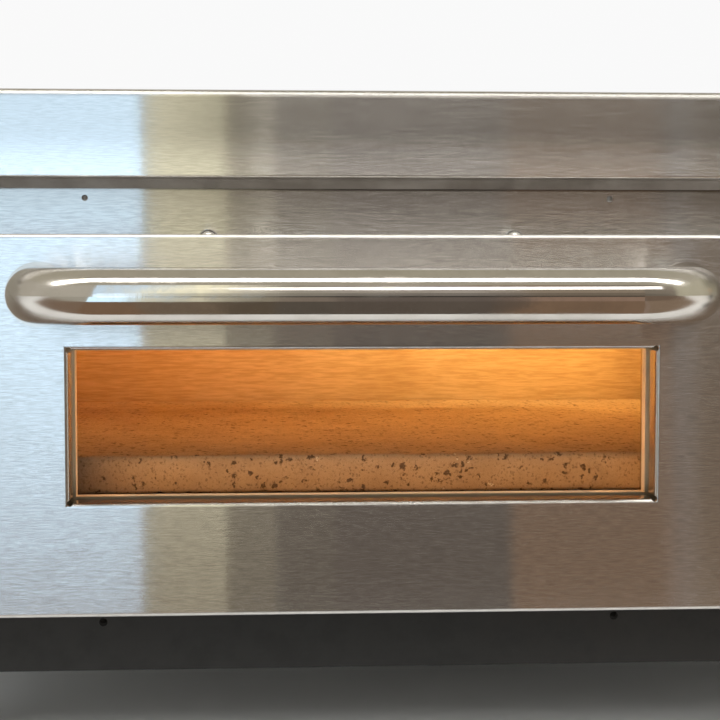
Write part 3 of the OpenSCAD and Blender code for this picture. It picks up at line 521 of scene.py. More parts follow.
@dataclass(frozen=True)
class PolishedSteel(Finish):
    """Steel polished nearly to a mirror, with faint polishing lines and finger marks."""

    tint: Colour = (0.70, 0.68, 0.65)
    print_tint: Colour = (0.60, 0.575, 0.54)
    print_scale: float = 38.0
    gloss: float = 0.075
    dull: float = 0.18
    line_scale: float = 900.0
    line_stretch: Point = (1.0, 0.05, 0.05)
    line_relief: float = 0.000003
    centre: float = 0.0
    bend_from: float = 1.0
    bend_to: float = 2.0
    bend_rough: float = 0.24

    def wire(self, wiring: Wiring) -> dict[str, object]:
        """Builds finger marks, fine lines round the tube, and bends that are less well polished.

        Args:
            wiring: the material\'s wiring.

        Returns:
            What the shader's inputs get.
        """
        point = wiring.place()
        marks = wiring.group(mottle, Point=point, Scale=self.print_scale)["Patch"]
        lines = wiring.noise(wiring.vector("MULTIPLY", point, self.line_stretch), self.line_scale, 3.0)[0]
        rough = wiring.spread(marks, 0.2, 1.0, self.gloss, self.dull)
        aside = wiring.calc("ABSOLUTE", wiring.calc("SUBTRACT", wiring.split(point)["X"], self.centre))
        bent = wiring.spread(aside, self.bend_from, self.bend_to, 0.0, self.bend_rough)
        return {"Base_Color": wiring.blend(marks, self.tint, self.print_tint), "Metallic": 1.0,
                "Roughness": wiring.calc("MAXIMUM", rough, bent), "Normal": wiring.bump(lines, self.line_relief)}


@dataclass(frozen=True)
class PlatedSteel(Finish):
    """Plated steel with a cloudy, slightly worn skin."""

    tint: Colour = (0.62, 0.62, 0.60)
    shade: Colour = (0.46, 0.46, 0.45)
    gloss: float = 0.26
    dull: float = 0.46
    scale: float = 90.0
    relief: float = 0.00002
    metal: float = 1.0
    paint: Colour = (0.012, 0.0115, 0.0105)
    painted_below: float = 0.0
    painted_before: float = 0.0

    def wire(self, wiring: Wiring) -> dict[str, object]:
        """Builds the cloudy plating, and the paint on what lies low in front.

        Args:
            wiring: the material\'s wiring.

        Returns:
            What the shader's inputs get.
        """
        point = wiring.place()
        cloud = wiring.group(mottle, Point=point, Scale=self.scale)
        colour = wiring.blend(cloud["Patch"], self.tint, self.shade)
        if self.painted_below:
            place = wiring.split(point)
            low = wiring.calc("LESS_THAN", place["Z"], self.painted_below)
            front = wiring.calc("LESS_THAN", place["Y"], self.painted_before)
            colour = wiring.blend(wiring.calc("MULTIPLY", low, front), colour, self.paint)
        return {"Base_Color": colour, "Roughness": wiring.spread(cloud["Patch"], 0.0, 1.0, self.gloss, self.dull),
                "Normal": wiring.bump(cloud["Grit"], self.relief), "Metallic": self.metal}


@dataclass(frozen=True)
class MouldedSkin(Finish):
    """Paint, plastic or rubber with a fine grain and a little settled dust."""

    tint: Colour = (0.03, 0.03, 0.03)
    shade: Colour = (0.02, 0.02, 0.02)
    dust_tint: Colour = (0.20, 0.19, 0.17)
    dust_share: float = 0.25
    gloss: float = 0.42
    dull: float = 0.58
    grain_scale: float = 60.0
    relief: float = 0.00004
    mark_tint: Colour = (0.72, 0.71, 0.68)
    mark_before: float | None = None

    def wire(self, wiring: Wiring) -> dict[str, object]:
        """Builds the grain, the pale print on what stands proud in front, and the dust.

        Args:
            wiring: the material\'s wiring.

        Returns:
            What the shader's inputs get.
        """
        point = wiring.place()
        grain = wiring.group(mottle, Point=point, Scale=self.grain_scale)
        colour = wiring.blend(grain["Patch"], self.tint, self.shade)
        if self.mark_before is not None:
            raised = wiring.calc("LESS_THAN", wiring.split(point)["Y"], self.mark_before)
            colour = wiring.blend(raised, colour, self.mark_tint)
        dust = wiring.group(settled_dust, Point=point)["Dust"]
        colour = wiring.blend(wiring.calc("MULTIPLY", dust, self.dust_share), colour, self.dust_tint)
        return {"Base_Color": colour, "Roughness": wiring.spread(grain["Patch"], 0.0, 1.0, self.gloss, self.dull),
                "Normal": wiring.bump(grain["Grit"], self.relief)}


@dataclass(frozen=True)
class LitPlastic(Finish):
    """Clear coloured plastic with a lamp behind it."""

    tint: Colour = (0.60, 0.03, 0.02)
    core: Colour = (0.95, 0.20, 0.06)
    glow: float = 0.6
    scale: float = 160.0
    gloss: float = 0.10
    dull: float = 0.22
    coat: float = 0.5

    def wire(self, wiring: Wiring) -> dict[str, object]:
        """Builds the cloudy colour and its glow.

        Args:
            wiring: the material\'s wiring.

        Returns:
            What the shader's inputs get.
        """
        cloud = wiring.group(mottle, Point=wiring.place(), Scale=self.scale)
        colour = wiring.blend(cloud["Patch"], self.tint, self.core)
        return {"Base_Color": colour, "Emission_Color": colour, "Emission_Strength": self.glow,
                "Roughness": wiring.spread(cloud["Grit"], 0.0, 1.0, self.gloss, self.dull), "Coat_Weight": self.coat}


@dataclass(frozen=True)
class PaneGlass(Finish):
    """Clear glass with faint wiping marks."""

    tint: Colour = (0.97, 0.985, 0.975)
    haze: Colour = (0.92, 0.93, 0.90)
    index: float = 1.07
    haze_rough: float = 0.03
    wipe_stretch: Point = (0.4, 1.0, 1.0)
    wipe_scale: float = 14.0

    def wire(self, wiring: Wiring) -> dict[str, object]:
        """Builds the clear body and the wiping marks.

        Args:
            wiring: the material\'s wiring.

        Returns:
            What the shader's inputs get.
        """
        point = wiring.vector("MULTIPLY", wiring.place(), self.wipe_stretch)
        marks = wiring.group(mottle, Point=point, Scale=self.wipe_scale)["Patch"]
        return {"Base_Color": wiring.blend(marks, self.tint, self.haze), "Transmission_Weight": 1.0,
                "Roughness": wiring.spread(marks, 0.5, 1.0, 0.0, self.haze_rough), "IOR": self.index}


@dataclass(frozen=True)
class LampGlow(Finish):
    """The frosted bulb of the chamber lamp."""

    tint: Colour = (1.0, 0.70, 0.30)
    edge: Colour = (1.0, 0.55, 0.18)
    glow: float = 1.6
    scale: float = 70.0

    def wire(self, wiring: Wiring) -> dict[str, object]:
        """Builds the uneven glow of the bulb.

        Args:
            wiring: the material\'s wiring.

        Returns:
            What the shader's inputs get.
        """
        cloud = wiring.group(mottle, Point=wiring.place(), Scale=self.scale)
        colour = wiring.blend(cloud["Patch"], self.tint, self.edge)
        return {"Base_Color": colour, "Emission_Color": colour, "Emission_Strength": self.glow}


@dataclass(frozen=True)
class Specks:
    """One kind of speck: its cells per metre, its size in a cell, its share of the cells and its strength."""

    scale: float
    size: float
    share: float
    strength: float


@dataclass(frozen=True)
class FiredStone(Finish):
    """A porous fired slab with specks, pits and scorch marks."""

    tint: Colour = (0.60, 0.45, 0.31)
    light: Colour = (0.70, 0.545, 0.39)
    dark: Colour = (0.44, 0.31, 0.20)
    scorch: Colour = (0.12, 0.075, 0.05)
    fleck: Colour = (0.90, 0.84, 0.74)
    cloud_scale: float = 45.0
    crumbs: Specks = Specks(620.0, 0.42, 0.40, 0.5)
    pits: Specks = Specks(260.0, 0.42, 0.30, 0.85)
    flecks: Specks = Specks(170.0, 0.16, 0.12, 1.0)
    burn_scale: float = 16.0
    gloss: float = 0.72
    dull: float = 0.92
    relief: float = 0.0004

    def wire(self, wiring: Wiring) -> dict[str, object]:
        """Builds the clouds, pits, flecks and scorch marks.

        Args:
            wiring: the material\'s wiring.

        Returns:
            What the shader's inputs get.
        """
        point = wiring.place()
        cloud = wiring.group(mottle, Point=point, Scale=self.cloud_scale)
        grit = cloud["Grit"]
        colour = wiring.blend(cloud["Patch"], self.tint, self.light)
        colour = wiring.blend(wiring.spread(grit, 0.50, 0.72, 0.0, 0.7), colour, self.dark)
        masks = {}
        for kind, tint in ((self.crumbs, self.scorch), (self.pits, self.scorch), (self.flecks, self.fleck)):
            masks[kind] = wiring.group(speckle, Point=point, Scale=kind.scale, Size=kind.size, Share=kind.share)[0]
            colour = wiring.blend(wiring.calc("MULTIPLY", masks[kind], kind.strength), colour, tint)
        burn = wiring.spread(wiring.noise(point, self.burn_scale, 5.0, 0.6)[0], 0.60, 0.78, 0.0, 0.75)
        height = wiring.calc("SUBTRACT", grit, masks[self.pits])
        return {"Base_Color": wiring.blend(burn, colour, self.scorch), "Normal": wiring.bump(height, self.relief),
                "Roughness": wiring.spread(grit, 0.2, 0.8, self.gloss, self.dull)}


@dataclass(frozen=True)
class FloorPaint(Finish):
    """Pale matt paint that fades into the surround far off, as a studio sweep does."""

    tint: Colour = (0.78, 0.775, 0.76)
    worn: float = 0.98
    surround: Colour = (0.95, 0.95, 0.95)
    black: Colour = (0.0, 0.0, 0.0)
    fade_from: float = 0.9
    fade_to: float = 2.6
    scale: float = 4.0
    gloss: float = 0.55
    dull: float = 0.65

    def wire(self, wiring: Wiring) -> dict[str, object]:
        """Builds the paint, and the fade, which only the camera sees.

        Args:
            wiring: the material\'s wiring.

        Returns:
            What the shader's inputs get.
        """
        point = wiring.place()
        grain = wiring.group(mottle, Point=point, Scale=self.scale)["Patch"]
        colour = wiring.blend(grain, self.tint, tuple(self.worn * c for c in self.tint))
        length = wiring.fill(wiring.add("VectorMath", operation="LENGTH"), Vector=point)["Value"]
        far = wiring.spread(length, self.fade_from, self.fade_to)
        far = wiring.calc("MULTIPLY", far, wiring.add("LightPath").outputs["Is Camera Ray"])
        return {"Base_Color": wiring.blend(far, colour, self.black), "Emission_Strength": 1.0,
                "Emission_Color": wiring.blend(far, self.black, self.surround),
                "Roughness": wiring.spread(grain, 0.0, 1.0, self.gloss, self.dull)}


@dataclass(frozen=True)
class Fibrous(Finish):
    """Wool or woven tape."""

    tint: Colour = (0.70, 0.60, 0.38)
    shade: Colour = (0.48, 0.38, 0.22)
    scale: float = 420.0
    relief: float = 0.0006
    gloss: float = 0.85
    dull: float = 0.97
    sheen: float = 0.3

    def wire(self, wiring: Wiring) -> dict[str, object]:
        """Builds the matted fibres.

        Args:
            wiring: the material\'s wiring.

        Returns:
            What the shader's inputs get.
        """
        mat = wiring.group(fibres, Point=wiring.place(), Scale=self.scale)
        return {"Base_Color": wiring.blend(mat["Shade"], self.shade, self.tint), "Sheen_Weight": self.sheen,
                "Roughness": wiring.spread(mat["Shade"], 0.0, 1.0, self.gloss, self.dull),
                "Normal": wiring.bump(mat["Height"], self.relief)}


CASE_STEEL = BrushedSteel("case_brushed_steel")
# Painted light and shade: a lighter copy of the case steel, which the painted shade darkens towards the visor's top.
VISOR_STEEL = BrushedSteel(
    "visor_brushed_steel", tint=(0.815, 0.805, 0.785), shade=(0.70, 0.69, 0.67), haze=(0.38, 0.37, 0.35),
    haze_from=0.283, haze_to=0.306,
)
# Painted shade: a darker copy of the case steel for the recess under the visor, darker still towards its top.
HEADER_STEEL = BrushedSteel(
    "header_brushed_steel", tint=(0.60, 0.585, 0.56), shade=(0.48, 0.465, 0.44), haze=(0.32, 0.30, 0.275),
    haze_from=0.254, haze_to=0.282,
)
FLANK_STEEL = BrushedSteel("flank_brushed_steel", run=GrainRun.ALONG_Y)
DOOR_STEEL = BrushedSteel("door_brushed_steel")
CHAMBER_STEEL = BrushedSteel(
    "chamber_steel", tint=(0.74, 0.54, 0.33), shade=(0.56, 0.38, 0.21), stain=(0.42, 0.25, 0.12),
    stain_share=0.35, gloss=0.42, dull=0.55, anisotropy=0.6, metal=0.35, fineness=1100.0, lean=0.5,
)
CHAMBER_FLANK_STEEL = replace(CHAMBER_STEEL, name="chamber_flank_steel", run=GrainRun.ALONG_Y)
TUBE_STEEL = PolishedSteel("polished_tube", centre=-0.068, bend_from=0.105, bend_to=0.150)
PLATED = PlatedSteel("plated_steel")
SCREW_STEEL = PlatedSteel("screw_steel", tint=(0.72, 0.71, 0.69), shade=(0.56, 0.55, 0.53), gloss=0.18, dull=0.32)
CASE_SCREW_STEEL = replace(SCREW_STEEL, name="case_screw_steel", painted_below=0.073, painted_before=-0.17)
RIVET_STEEL = PlatedSteel("rivet_steel", tint=(0.26, 0.25, 0.24), shade=(0.16, 0.155, 0.15))
# Partly real bronze colour and partly painted light: the pale warm tint stands in for the chamber's glow and highlight
# lines on the spacer.
SPACER_STEEL = PlatedSteel(
    "spacer_steel", tint=(0.97, 0.72, 0.48), shade=(0.94, 0.68, 0.44), gloss=0.3, dull=0.36, metal=0.0,
)
BRASS = PlatedSteel("dull_brass", tint=(0.62, 0.44, 0.22), shade=(0.42, 0.28, 0.13))
SHEATH = PlatedSteel("element_sheath", tint=(0.16, 0.14, 0.13), shade=(0.09, 0.075, 0.07), gloss=0.45, dull=0.7)
BLACK_PAINT = MouldedSkin("black_paint", tint=(0.011, 0.0105, 0.0095), shade=(0.007, 0.007, 0.006), dust_share=0.1)
RUBBER = MouldedSkin("foot_rubber", tint=(0.026, 0.026, 0.026), gloss=0.7, dull=0.85, relief=0.00008)
PLASTIC = MouldedSkin("knob_plastic", tint=(0.022, 0.022, 0.023), gloss=0.30, dull=0.42, grain_scale=120.0)
KNOB_PLASTIC = replace(PLASTIC, name="marked_knob_plastic", mark_before=-0.2109)
INK = MouldedSkin("dial_ink", tint=(0.025, 0.025, 0.027), dust_share=0.05)
CERAMIC = MouldedSkin(
    "white_ceramic", tint=(0.82, 0.80, 0.75), shade=(0.70, 0.67, 0.61), dust_tint=(0.5, 0.46, 0.4),
    gloss=0.12, dull=0.22, relief=0.00001,
)
RED_PLASTIC = LitPlastic("red_rocker")
AMBER = LitPlastic("amber_lens", tint=(0.70, 0.20, 0.02), core=(1.0, 0.46, 0.08), glow=0.9)
GLASS = PaneGlass("pane_glass")
BULB = LampGlow("lamp_bulb_glow")
STONE = FiredStone("fired_stone")
WOOL = Fibrous("mineral_wool")
TAPE = Fibrous("woven_tape", tint=(0.74, 0.69, 0.58), shade=(0.46, 0.41, 0.33), scale=900.0, relief=0.0002)


def node(name: str) -> bpy.types.Object:
    """Returns a node of the frame by name."""
    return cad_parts[name]


def box(name: str) -> tuple[Vector, Vector]:
    """Returns a node's lowest and highest corners."""
    low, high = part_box(name)
    return Vector(low), Vector(high)


def dress(finish: Finish, *names: str) -> None:
    """Gives nodes of the frame a finish.

    Args:
        finish: the finish.
        names: the nodes.
    """
    for name in names:
        slots = node(name).data.materials
        slots.clear()
        slots.append(finish.material())
        LOG.info("dressed %s in %s", name, finish.name)


def show(name: str, data: bpy.types.ID) -> bpy.types.Object:
    """Puts a new object into the scene.

    Args:
        name: its name.
        data: its mesh, curve, light or camera.

    Returns:
        The new object.
    """
    made = bpy.data.objects.new(name, data)
    bpy.context.scene.collection.objects.link(made)
    return made


def mesh_piece(name: str, points: Sequence[Point], faces: Sequence[Sequence[int]], finish: Finish) -> bpy.types.Object:
    """Makes a smooth-shaded mesh object.

    Args:
        name: its name.
        points: its vertices.
        faces: its faces, as indices of vertices.
        finish: its finish.

    Returns:
        The new object.
    """
    mesh = bpy.data.meshes.new(name)
    mesh.from_pydata(points, [], faces)
    mesh.validate()
    mesh.shade_smooth()
    mesh.materials.append(finish.material())
    return show(name, mesh)


def settle(piece: bpy.types.Object, body: str, replaced: Iterable[str] = ()) -> None:
    """Puts a piece on its body and says what it stands for.

    Args:
        piece: the piece.
        body: the body that it rides on.
        replaced: the nodes that it stands for.
    """
    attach(piece, body)
    if replaced:
        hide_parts(*replaced)
    LOG.info("built %s on %s", piece.name, body)


def sweep(path: Sequence[Vector], section: Callable[[int, float], float], sides: int,
          closed: bool) -> tuple[list[Vector], list[tuple]]:
    """Sweeps a round section along a path, with frames that don't twist.

    Args:
        path: the points of the path.
        section: gives the radius at a step and an angle.
        sides: how many points the section has.
        closed: whether the path joins up with itself.

    Returns:
        The vertices and the faces.
    """
    count = len(path)
    points: list[Vector] = []
    faces: list[tuple] = []
    side = None
    for step, here in enumerate(path):
        ahead = path[(step + 1) % count] if closed or step + 1 < count else here
        behind = path[step - 1] if closed or step else here
        along = (ahead - behind).normalized()
        if side is None:
            side = along.orthogonal().normalized()
        side = (side - along * side.dot(along)).normalized()
        other = along.cross(side)
        for k in range(sides):
            angle = 2 * math.pi * k / sides
            radius = section(step, angle)
            points.append(here + side * (radius * math.cos(angle)) + other * (radius * math.sin(angle)))
    for step in range(count if closed else count - 1):
        first = step * sides
        second = (step + 1) % count * sides
        for k in range(sides):
            after = (k + 1) % sides
            faces.append((first + k, first + after, second + after, second + k))
    if not closed:
        faces.append(tuple(range(sides))[::-1])
        faces.append(tuple((count - 1) * sides + k for k in range(sides)))
    return points, faces


@dataclass
class CaseShell:
    """The outer sheets of the case, its frame and its screws."""

    def build(self) -> None:
        """Dresses the case's nodes."""
        dress(VISOR_STEEL, "top_cover")
        dress(HEADER_STEEL, "front_header")
        dress(CASE_STEEL, "front_posts", "front_sill", "control_panel", "rear_panel")
        dress(FLANK_STEEL, "left_side_panel", "right_side_panel")
        dress(PLATED, "base_pan", "compartment_wall")
        dress(BLACK_PAINT, "kick_plate")
        dress(CASE_SCREW_STEEL, "case_screws")
        dress(RIVET_STEEL, "header_rivets")


@dataclass
class OvenDoor:
    """The drop-down door with its window and handle."""

    pane_clear: float = 0.00006

    def build(self) -> None:
        """Dresses the door's nodes, and draws the panes clear of their seats."""
        dress(DOOR_STEEL, "door_outer_panel", "door_inner_panel")
        dress(TUBE_STEEL, "door_handle", "handle_collars")
        dress(SCREW_STEEL, "door_screws")
        dress(SPACER_STEEL, "glass_spacer")
        dress(PLATED, "handle_bolts", "door_levers")
        dress(BRASS, "hinge_bushes")
        dress(GLASS, "glass_panes")
        clear = node("glass_panes").modifiers.new("clear_of_seat", "DISPLACE")
        clear.strength = -self.pane_clear
        clear.mid_level = 0.0


@dataclass
class BakingChamber:
    """The heated chamber with its stone, elements, lamp and seal."""

    stone_round: float = 0.0028
    stone_fine: float = 0.0016
    stone_coarse: float = 0.006
    stone_front_depth: float = 0.014
    pit_scale: float = 210.0
    pit_size: float = 0.42
    pit_depth: float = 0.0012
    wear_scale: float = 60.0
    wear_depth: float = 0.0007
    seal_width: float = 0.006
    seal_bend: float = 0.007
    seal_step: float = 0.0012
    seal_arc_steps: int = 8
    seal_sides: int = 18
    seal_strands: int = 3
    seal_ribs: float = 420.0
    seal_ripple: float = 0.07

    def build(self) -> None:
        """Dresses the chamber's nodes and builds its stone and seal."""
        dress(CHAMBER_STEEL, "chamber_back_wall", "chamber_roof", "chamber_floor")
        dress(CHAMBER_FLANK_STEEL, "chamber_side_walls", "lamp_bezel")
        dress(PLATED, "stone_rails", "element_hangers", "chamber_supports")
        dress(SHEATH, "upper_element", "lower_element")
        dress(BRASS, "temperature_probes")
        dress(GLASS, "lamp_glass")
        dress(BULB, "lamp_bulb")
        dress(CERAMIC, "lamp_socket")
        self.build_stone()
        self.build_seal()

    def _steps(self, low: float, high: float, fine_until: float) -> list[float]:
        """Divides a length finely up to a mark and near its end, and coarsely between.

        Args:
            low: where it starts.
            high: where it ends.
            fine_until: where the fine steps end.

        Returns:
            The places of the divisions.
        """
        places = []
        here = low
        while here < high - self.stone_fine / 2:
            places.append(here)
            near_end = here < fine_until or here > high - 2 * self.stone_round
            here += self.stone_fine if near_end else self.stone_coarse
        return [*places, high]

    def _worn(self, point: Vector, low: Vector, high: Vector) -> Vector:
        """Rounds the slab's edges and sinks its pits and worn places.

        Args:
            point: a point on the plain slab's surface.
            low: the slab's lowest corner.
            high: the slab's highest corner.

        Returns:
            Where the point goes.
        """
        inset = Vector((self.stone_round,) * 3)
        core = Vector(min(max(p, a), b) for p, a, b in zip(point, low + inset, high - inset))
        out = (point - core).normalized()
        surface = core + out * self.stone_round
        distances, _ = noise.voronoi(surface * self.pit_scale)
        pit = max(0.0, 1.0 - distances[0] / self.pit_size)
        wear = 0.5 + 0.5 * noise.fractal(surface * self.wear_scale, 1.0, 2.0, 4)
        return surface - out * (self.pit_depth * pit * pit + self.wear_depth * max(0.0, wear))

    def build_stone(self) -> None:
        """Builds the slab with rounded, pitted edges."""
        low, high = box("baking_stone")
        xs = self._steps(low.x, high.x, high.x)
        ys = self._steps(low.y, high.y, low.y + self.stone_front_depth)
        zs = self._steps(low.z, high.z, high.z)
        index: dict[tuple[int, int, int], int] = {}
        points: list[Vector] = []
        faces: list[tuple] = []

        def corner(i: int, j: int, k: int) -> int:
            """Makes the vertex at a place of the grid, once.

            Args:
                i: its step along X.
                j: its step along Y.
                k: its step along Z.

            Returns:
                The vertex's index.
            """
            if (i, j, k) not in index:
                index[i, j, k] = len(points)
                points.append(self._worn(Vector((xs[i], ys[j], zs[k])), low, high))
            return index[i, j, k]

        def pair(axis: int, a: int, b: int) -> list[tuple]:
            """Makes the two faces at a place of the grid that look along an axis, out of the slab.

            Args:
                axis: the axis, from 0 for X to 2 for Z.
                a: the step along the next axis.
                b: the step along the one after it.

            Returns:
                The faces.
            """
            made = []
            for end in (0, spans[axis]):
                ring = []
                for at_a, at_b in ((a, b), (a + 1, b), (a + 1, b + 1), (a, b + 1)):
                    spot = [end, at_a, at_b]
                    ring.append(corner(*(spot[(n - axis) % 3] for n in range(3))))
                made.append(tuple(ring if end else ring[::-1]))
            return made

        spans = [len(places) - 1 for places in (xs, ys, zs)]
        for axis in range(3):
            for a in range(spans[(axis + 1) % 3]):
                for b in range(spans[(axis + 2) % 3]):
                    faces += pair(axis, a, b)
        stone = mesh_piece("pitted_stone", points, faces, STONE)
        settle(stone, CASE, ["baking_stone"])

    def build_seal(self) -> None:
        """Builds the braided seal round the chamber's mouth."""
        low, high = box("door_gasket")
        wide, deep = self.seal_width / 2, (high.y - low.y) / 2
        middle_y = (low.y + high.y) / 2
        bend, step = self.seal_bend, self.seal_step
        left, right = low.x + wide + bend, high.x - wide - bend
        bottom, top = low.z + wide + bend, high.z - wide - bend
        stops: list[Vector] = []
        for x, z, start in ((right, bottom, -90), (right, top, 0), (left, top, 90), (left, bottom, 180)):
            for k in range(self.seal_arc_steps + 1):
                angle = math.radians(start + 90 * k / self.seal_arc_steps)
                stops.append(Vector((x + bend * math.cos(angle), middle_y, z + bend * math.sin(angle))))
        path: list[Vector] = []
        for here, after in zip(stops, [*stops[1:], stops[0]]):
            parts = max(1, round((after - here).length / step))
            path += [here.lerp(after, n / parts) for n in range(parts)]

        def section(place: int, angle: float) -> float:
            """Gives an oval section whose radius ripples as a braid's strands do.

            Args:
                place: the step along the path.
                angle: the angle round it.

            Returns:
                The radius there.
            """
            oval = wide * deep / math.hypot(deep * math.cos(angle), wide * math.sin(angle))
            lay, turn = place * step * self.seal_ribs, self.seal_strands * angle
            braid = math.cos(turn + lay) * math.cos(turn - lay)
            return oval * (1 - self.seal_ripple + self.seal_ripple * braid)

        points, faces = sweep(path, section, self.seal_sides, True)
        seal = mesh_piece("braided_seal", points, faces, TAPE)
        settle(seal, CASE, ["door_gasket"])


@dataclass
class ControlColumn:
    """The control panel's knobs, switches, lamps and markings."""

    dial_gap: float = 0.0035
    tick_long: float = 0.0042
    tick_short: float = 0.0026
    tick_wide: float = 0.0007
    print_thick: float = 0.00012
    figure_size: float = 0.0062
    figure_out: float = 0.0085
    sweep_deg: float = 280.0
    hottest: int = 400
    figure_step: int = 100
    tick_step: int = 20
    knobs: Sequence[str] = ("upper_knob", "lower_knob")

    def build(self) -> None:
        """Dresses the controls and prints their markings."""
        dress(KNOB_PLASTIC, *self.knobs)
        dress(PLASTIC, "switch_bodies", "thermostats", "cable_gland", "lamp_rocker")
        dress(PLATED, "upper_spindle", "lower_spindle")
        dress(RED_PLASTIC, "power_rocker")
        dress(AMBER, "pilot_lamps")
        dress(CERAMIC, "terminal_block")
        for knob in self.knobs:
            self.build_dial(knob)

    def _figure(self, words: str) -> bpy.types.Mesh:
        """Makes the mesh of a plain number.

        Args:
            words: the number.

        Returns:
            The mesh, in the XY plane, centred on the origin.
        """
        curve = bpy.data.curves.new("figure", "FONT")
        curve.body = words
        curve.size = self.figure_size
        curve.align_x = "CENTER"
        curve.align_y = "CENTER"
        curve.extrude = self.print_thick / 2
        holder = show("figure", curve)
        shape = bpy.data.meshes.new_from_object(holder.evaluated_get(bpy.context.evaluated_depsgraph_get()))
        bpy.data.objects.remove(holder)
        bpy.data.curves.remove(curve)
        return shape

    def build_dial(self, knob: str) -> None:
        """Prints the scale round a knob: ticks and plain numbers.

        Args:
            knob: the knob's node.
        """
        low, high = box(knob)
        face = box("control_panel")[0].y - self.print_thick / 2
        centre = Vector(((low.x + high.x) / 2, face, (low.z + high.z) / 2))
        near = (high.x - low.x) / 2 + self.dial_gap
        shape = bmesh.new()
        for value in range(0, self.hottest + 1, self.tick_step):
            angle = math.radians(self.sweep_deg * value / self.hottest)
            major = value % self.figure_step == 0
            length = self.tick_long if major else self.tick_short
            out = Vector((math.sin(angle), 0.0, math.cos(angle)))
            across = Vector((math.cos(angle), 0.0, -math.sin(angle)))
            middle = centre + out * (near + length / 2)
            for vertex in bmesh.ops.create_cube(shape, size=1.0)["verts"]:
                at = vertex.co
                vertex.co = (middle + across * (at.x * self.tick_wide) + out * (at.z * length)
                             + Vector((0.0, at.y * self.print_thick, 0.0)))
            if major:
                spot = centre + out * (near + self.figure_out)
                figure = self._figure(str(value))
                for vertex in figure.vertices:
                    vertex.co = (spot.x + vertex.co.x, face + vertex.co.z, spot.z + vertex.co.y)
                shape.from_mesh(figure)
                bpy.data.meshes.remove(figure)
        mesh = bpy.data.meshes.new(f"{knob}_dial")
        bmesh.ops.recalc_face_normals(shape, faces=shape.faces)
        shape.to_mesh(mesh)
        shape.free()
        mesh.materials.append(INK.material())
        settle(show(f"{knob}_dial", mesh), CASE)


@dataclass
class HingeGear:
    """The door's hinge plates, pins and springs."""

    turns: int = 14
    steps_a_turn: int = 20
    wire: float = 0.0006
    sides: int = 8
    lead: float = 0.007
    give: float = 0.030

    def build(self) -> None:
        """Dresses the hinge and builds its springs."""
        dress(PLATED, "hinge_plates", "hinge_pins")
        low, high = box("door_springs")
        coil = (high.z - low.z) / 2 - self.wire
        for name, x in (("left_spring", low.x + coil + self.wire), ("right_spring", high.x - coil - self.wire)):
            self.build_spring(name, x, coil, low, high)

    def build_spring(self, name: str, x: float, coil: float, low: Vector, high: Vector) -> None:
        """Builds one coil spring between the door's lever and the case.

        Args:
            name: its name.
            x: where its axis lies.
            coil: the radius of its coils.
            low: the springs' lowest corner.
            high: the springs' highest corner.
        """
        z = (low.z + high.z) / 2
        first, last = low.y + self.lead, high.y - self.lead
        path = [Vector((x, low.y, z + coil))]
        total = self.turns * self.steps_a_turn
        for n in range(total + 1):
            angle = 2 * math.pi * n / self.steps_a_turn
            path.append(Vector((x + coil * math.sin(angle), first + (last - first) * n / total,
                                z + coil * math.cos(angle))))
        path.append(Vector((x, high.y, z + coil)))
        points, faces = sweep(path, lambda step, angle: self.wire, self.sides, False)
        spring = mesh_piece(name, points, faces, SCREW_STEEL)
        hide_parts("door_springs")
        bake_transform(spring)
        LOG.info("built %s between case and door", name)


@dataclass
class Undercarriage:
    """The feet and what holds them."""

    def build(self) -> None:
        """Dresses the feet."""
        dress(RUBBER, "rubber_feet")
        dress(PLATED, "foot_screws")


@dataclass
class Lagging:
    """The wool blankets between the sheets."""

    voxel: float = 0.006
    ruffle: float = 0.0016
    cloud_size: float = 0.03
    names: Sequence[str] = ("side_insulation", "top_insulation", "back_insulation", "floor_insulation",
                            "door_insulation")

    def build(self) -> None:
        """Gives the blankets a matted, uneven skin."""
        clouds = bpy.data.textures.new("wool_clouds", "CLOUDS")
        clouds.noise_scale = self.cloud_size
        for name in self.names:
            blanket = node(name)
            remesh = blanket.modifiers.new("matted", "REMESH")
            remesh.mode = "VOXEL"
            remesh.voxel_size = self.voxel
            ruffle = blanket.modifiers.new("ruffled", "DISPLACE")
            ruffle.texture = clouds
            ruffle.strength = self.ruffle
            ruffle.mid_level = 1.0
        dress(WOOL, *self.names)


def hang(data: bpy.types.Light, place: Point, watts: float, tint: Colour, mirrored: bool = False) -> bpy.types.Object:
    """Hangs a lamp that neither the camera nor glass shows.

    Args:
        data: the lamp, which gives the object its name.
        place: where it hangs.
        watts: its power.
        tint: its colour.
        mirrored: whether shiny surfaces show it.

    Returns:
        The lamp's object.
    """
    data.energy = watts
    data.color = tint
    lamp = show(data.name, data)
    lamp.location = place
    lamp.visible_camera = False
    lamp.visible_transmission = False
    lamp.visible_glossy = mirrored
    return lamp


@dataclass(frozen=True)
class SoftLamp:
    """A soft rectangular lamp: where it hangs, the point it faces, its size, power, colour and beam."""

    name: str
    place: Point
    aim: Point
    size: tuple[float, float]
    watts: float
    tint: Colour
    mirrored: bool = False
    spread_deg: float = 180.0

    def build(self) -> None:
        """Hangs the lamp and turns it to its point."""
        data = bpy.data.lights.new(self.name, "AREA")
        data.shape = "RECTANGLE"
        data.size, data.size_y = self.size
        data.spread = math.radians(self.spread_deg)
        lamp = hang(data, self.place, self.watts, self.tint, self.mirrored)
        lamp.rotation_euler = (Vector(self.aim) - Vector(self.place)).to_track_quat("-Z", "Y").to_euler()


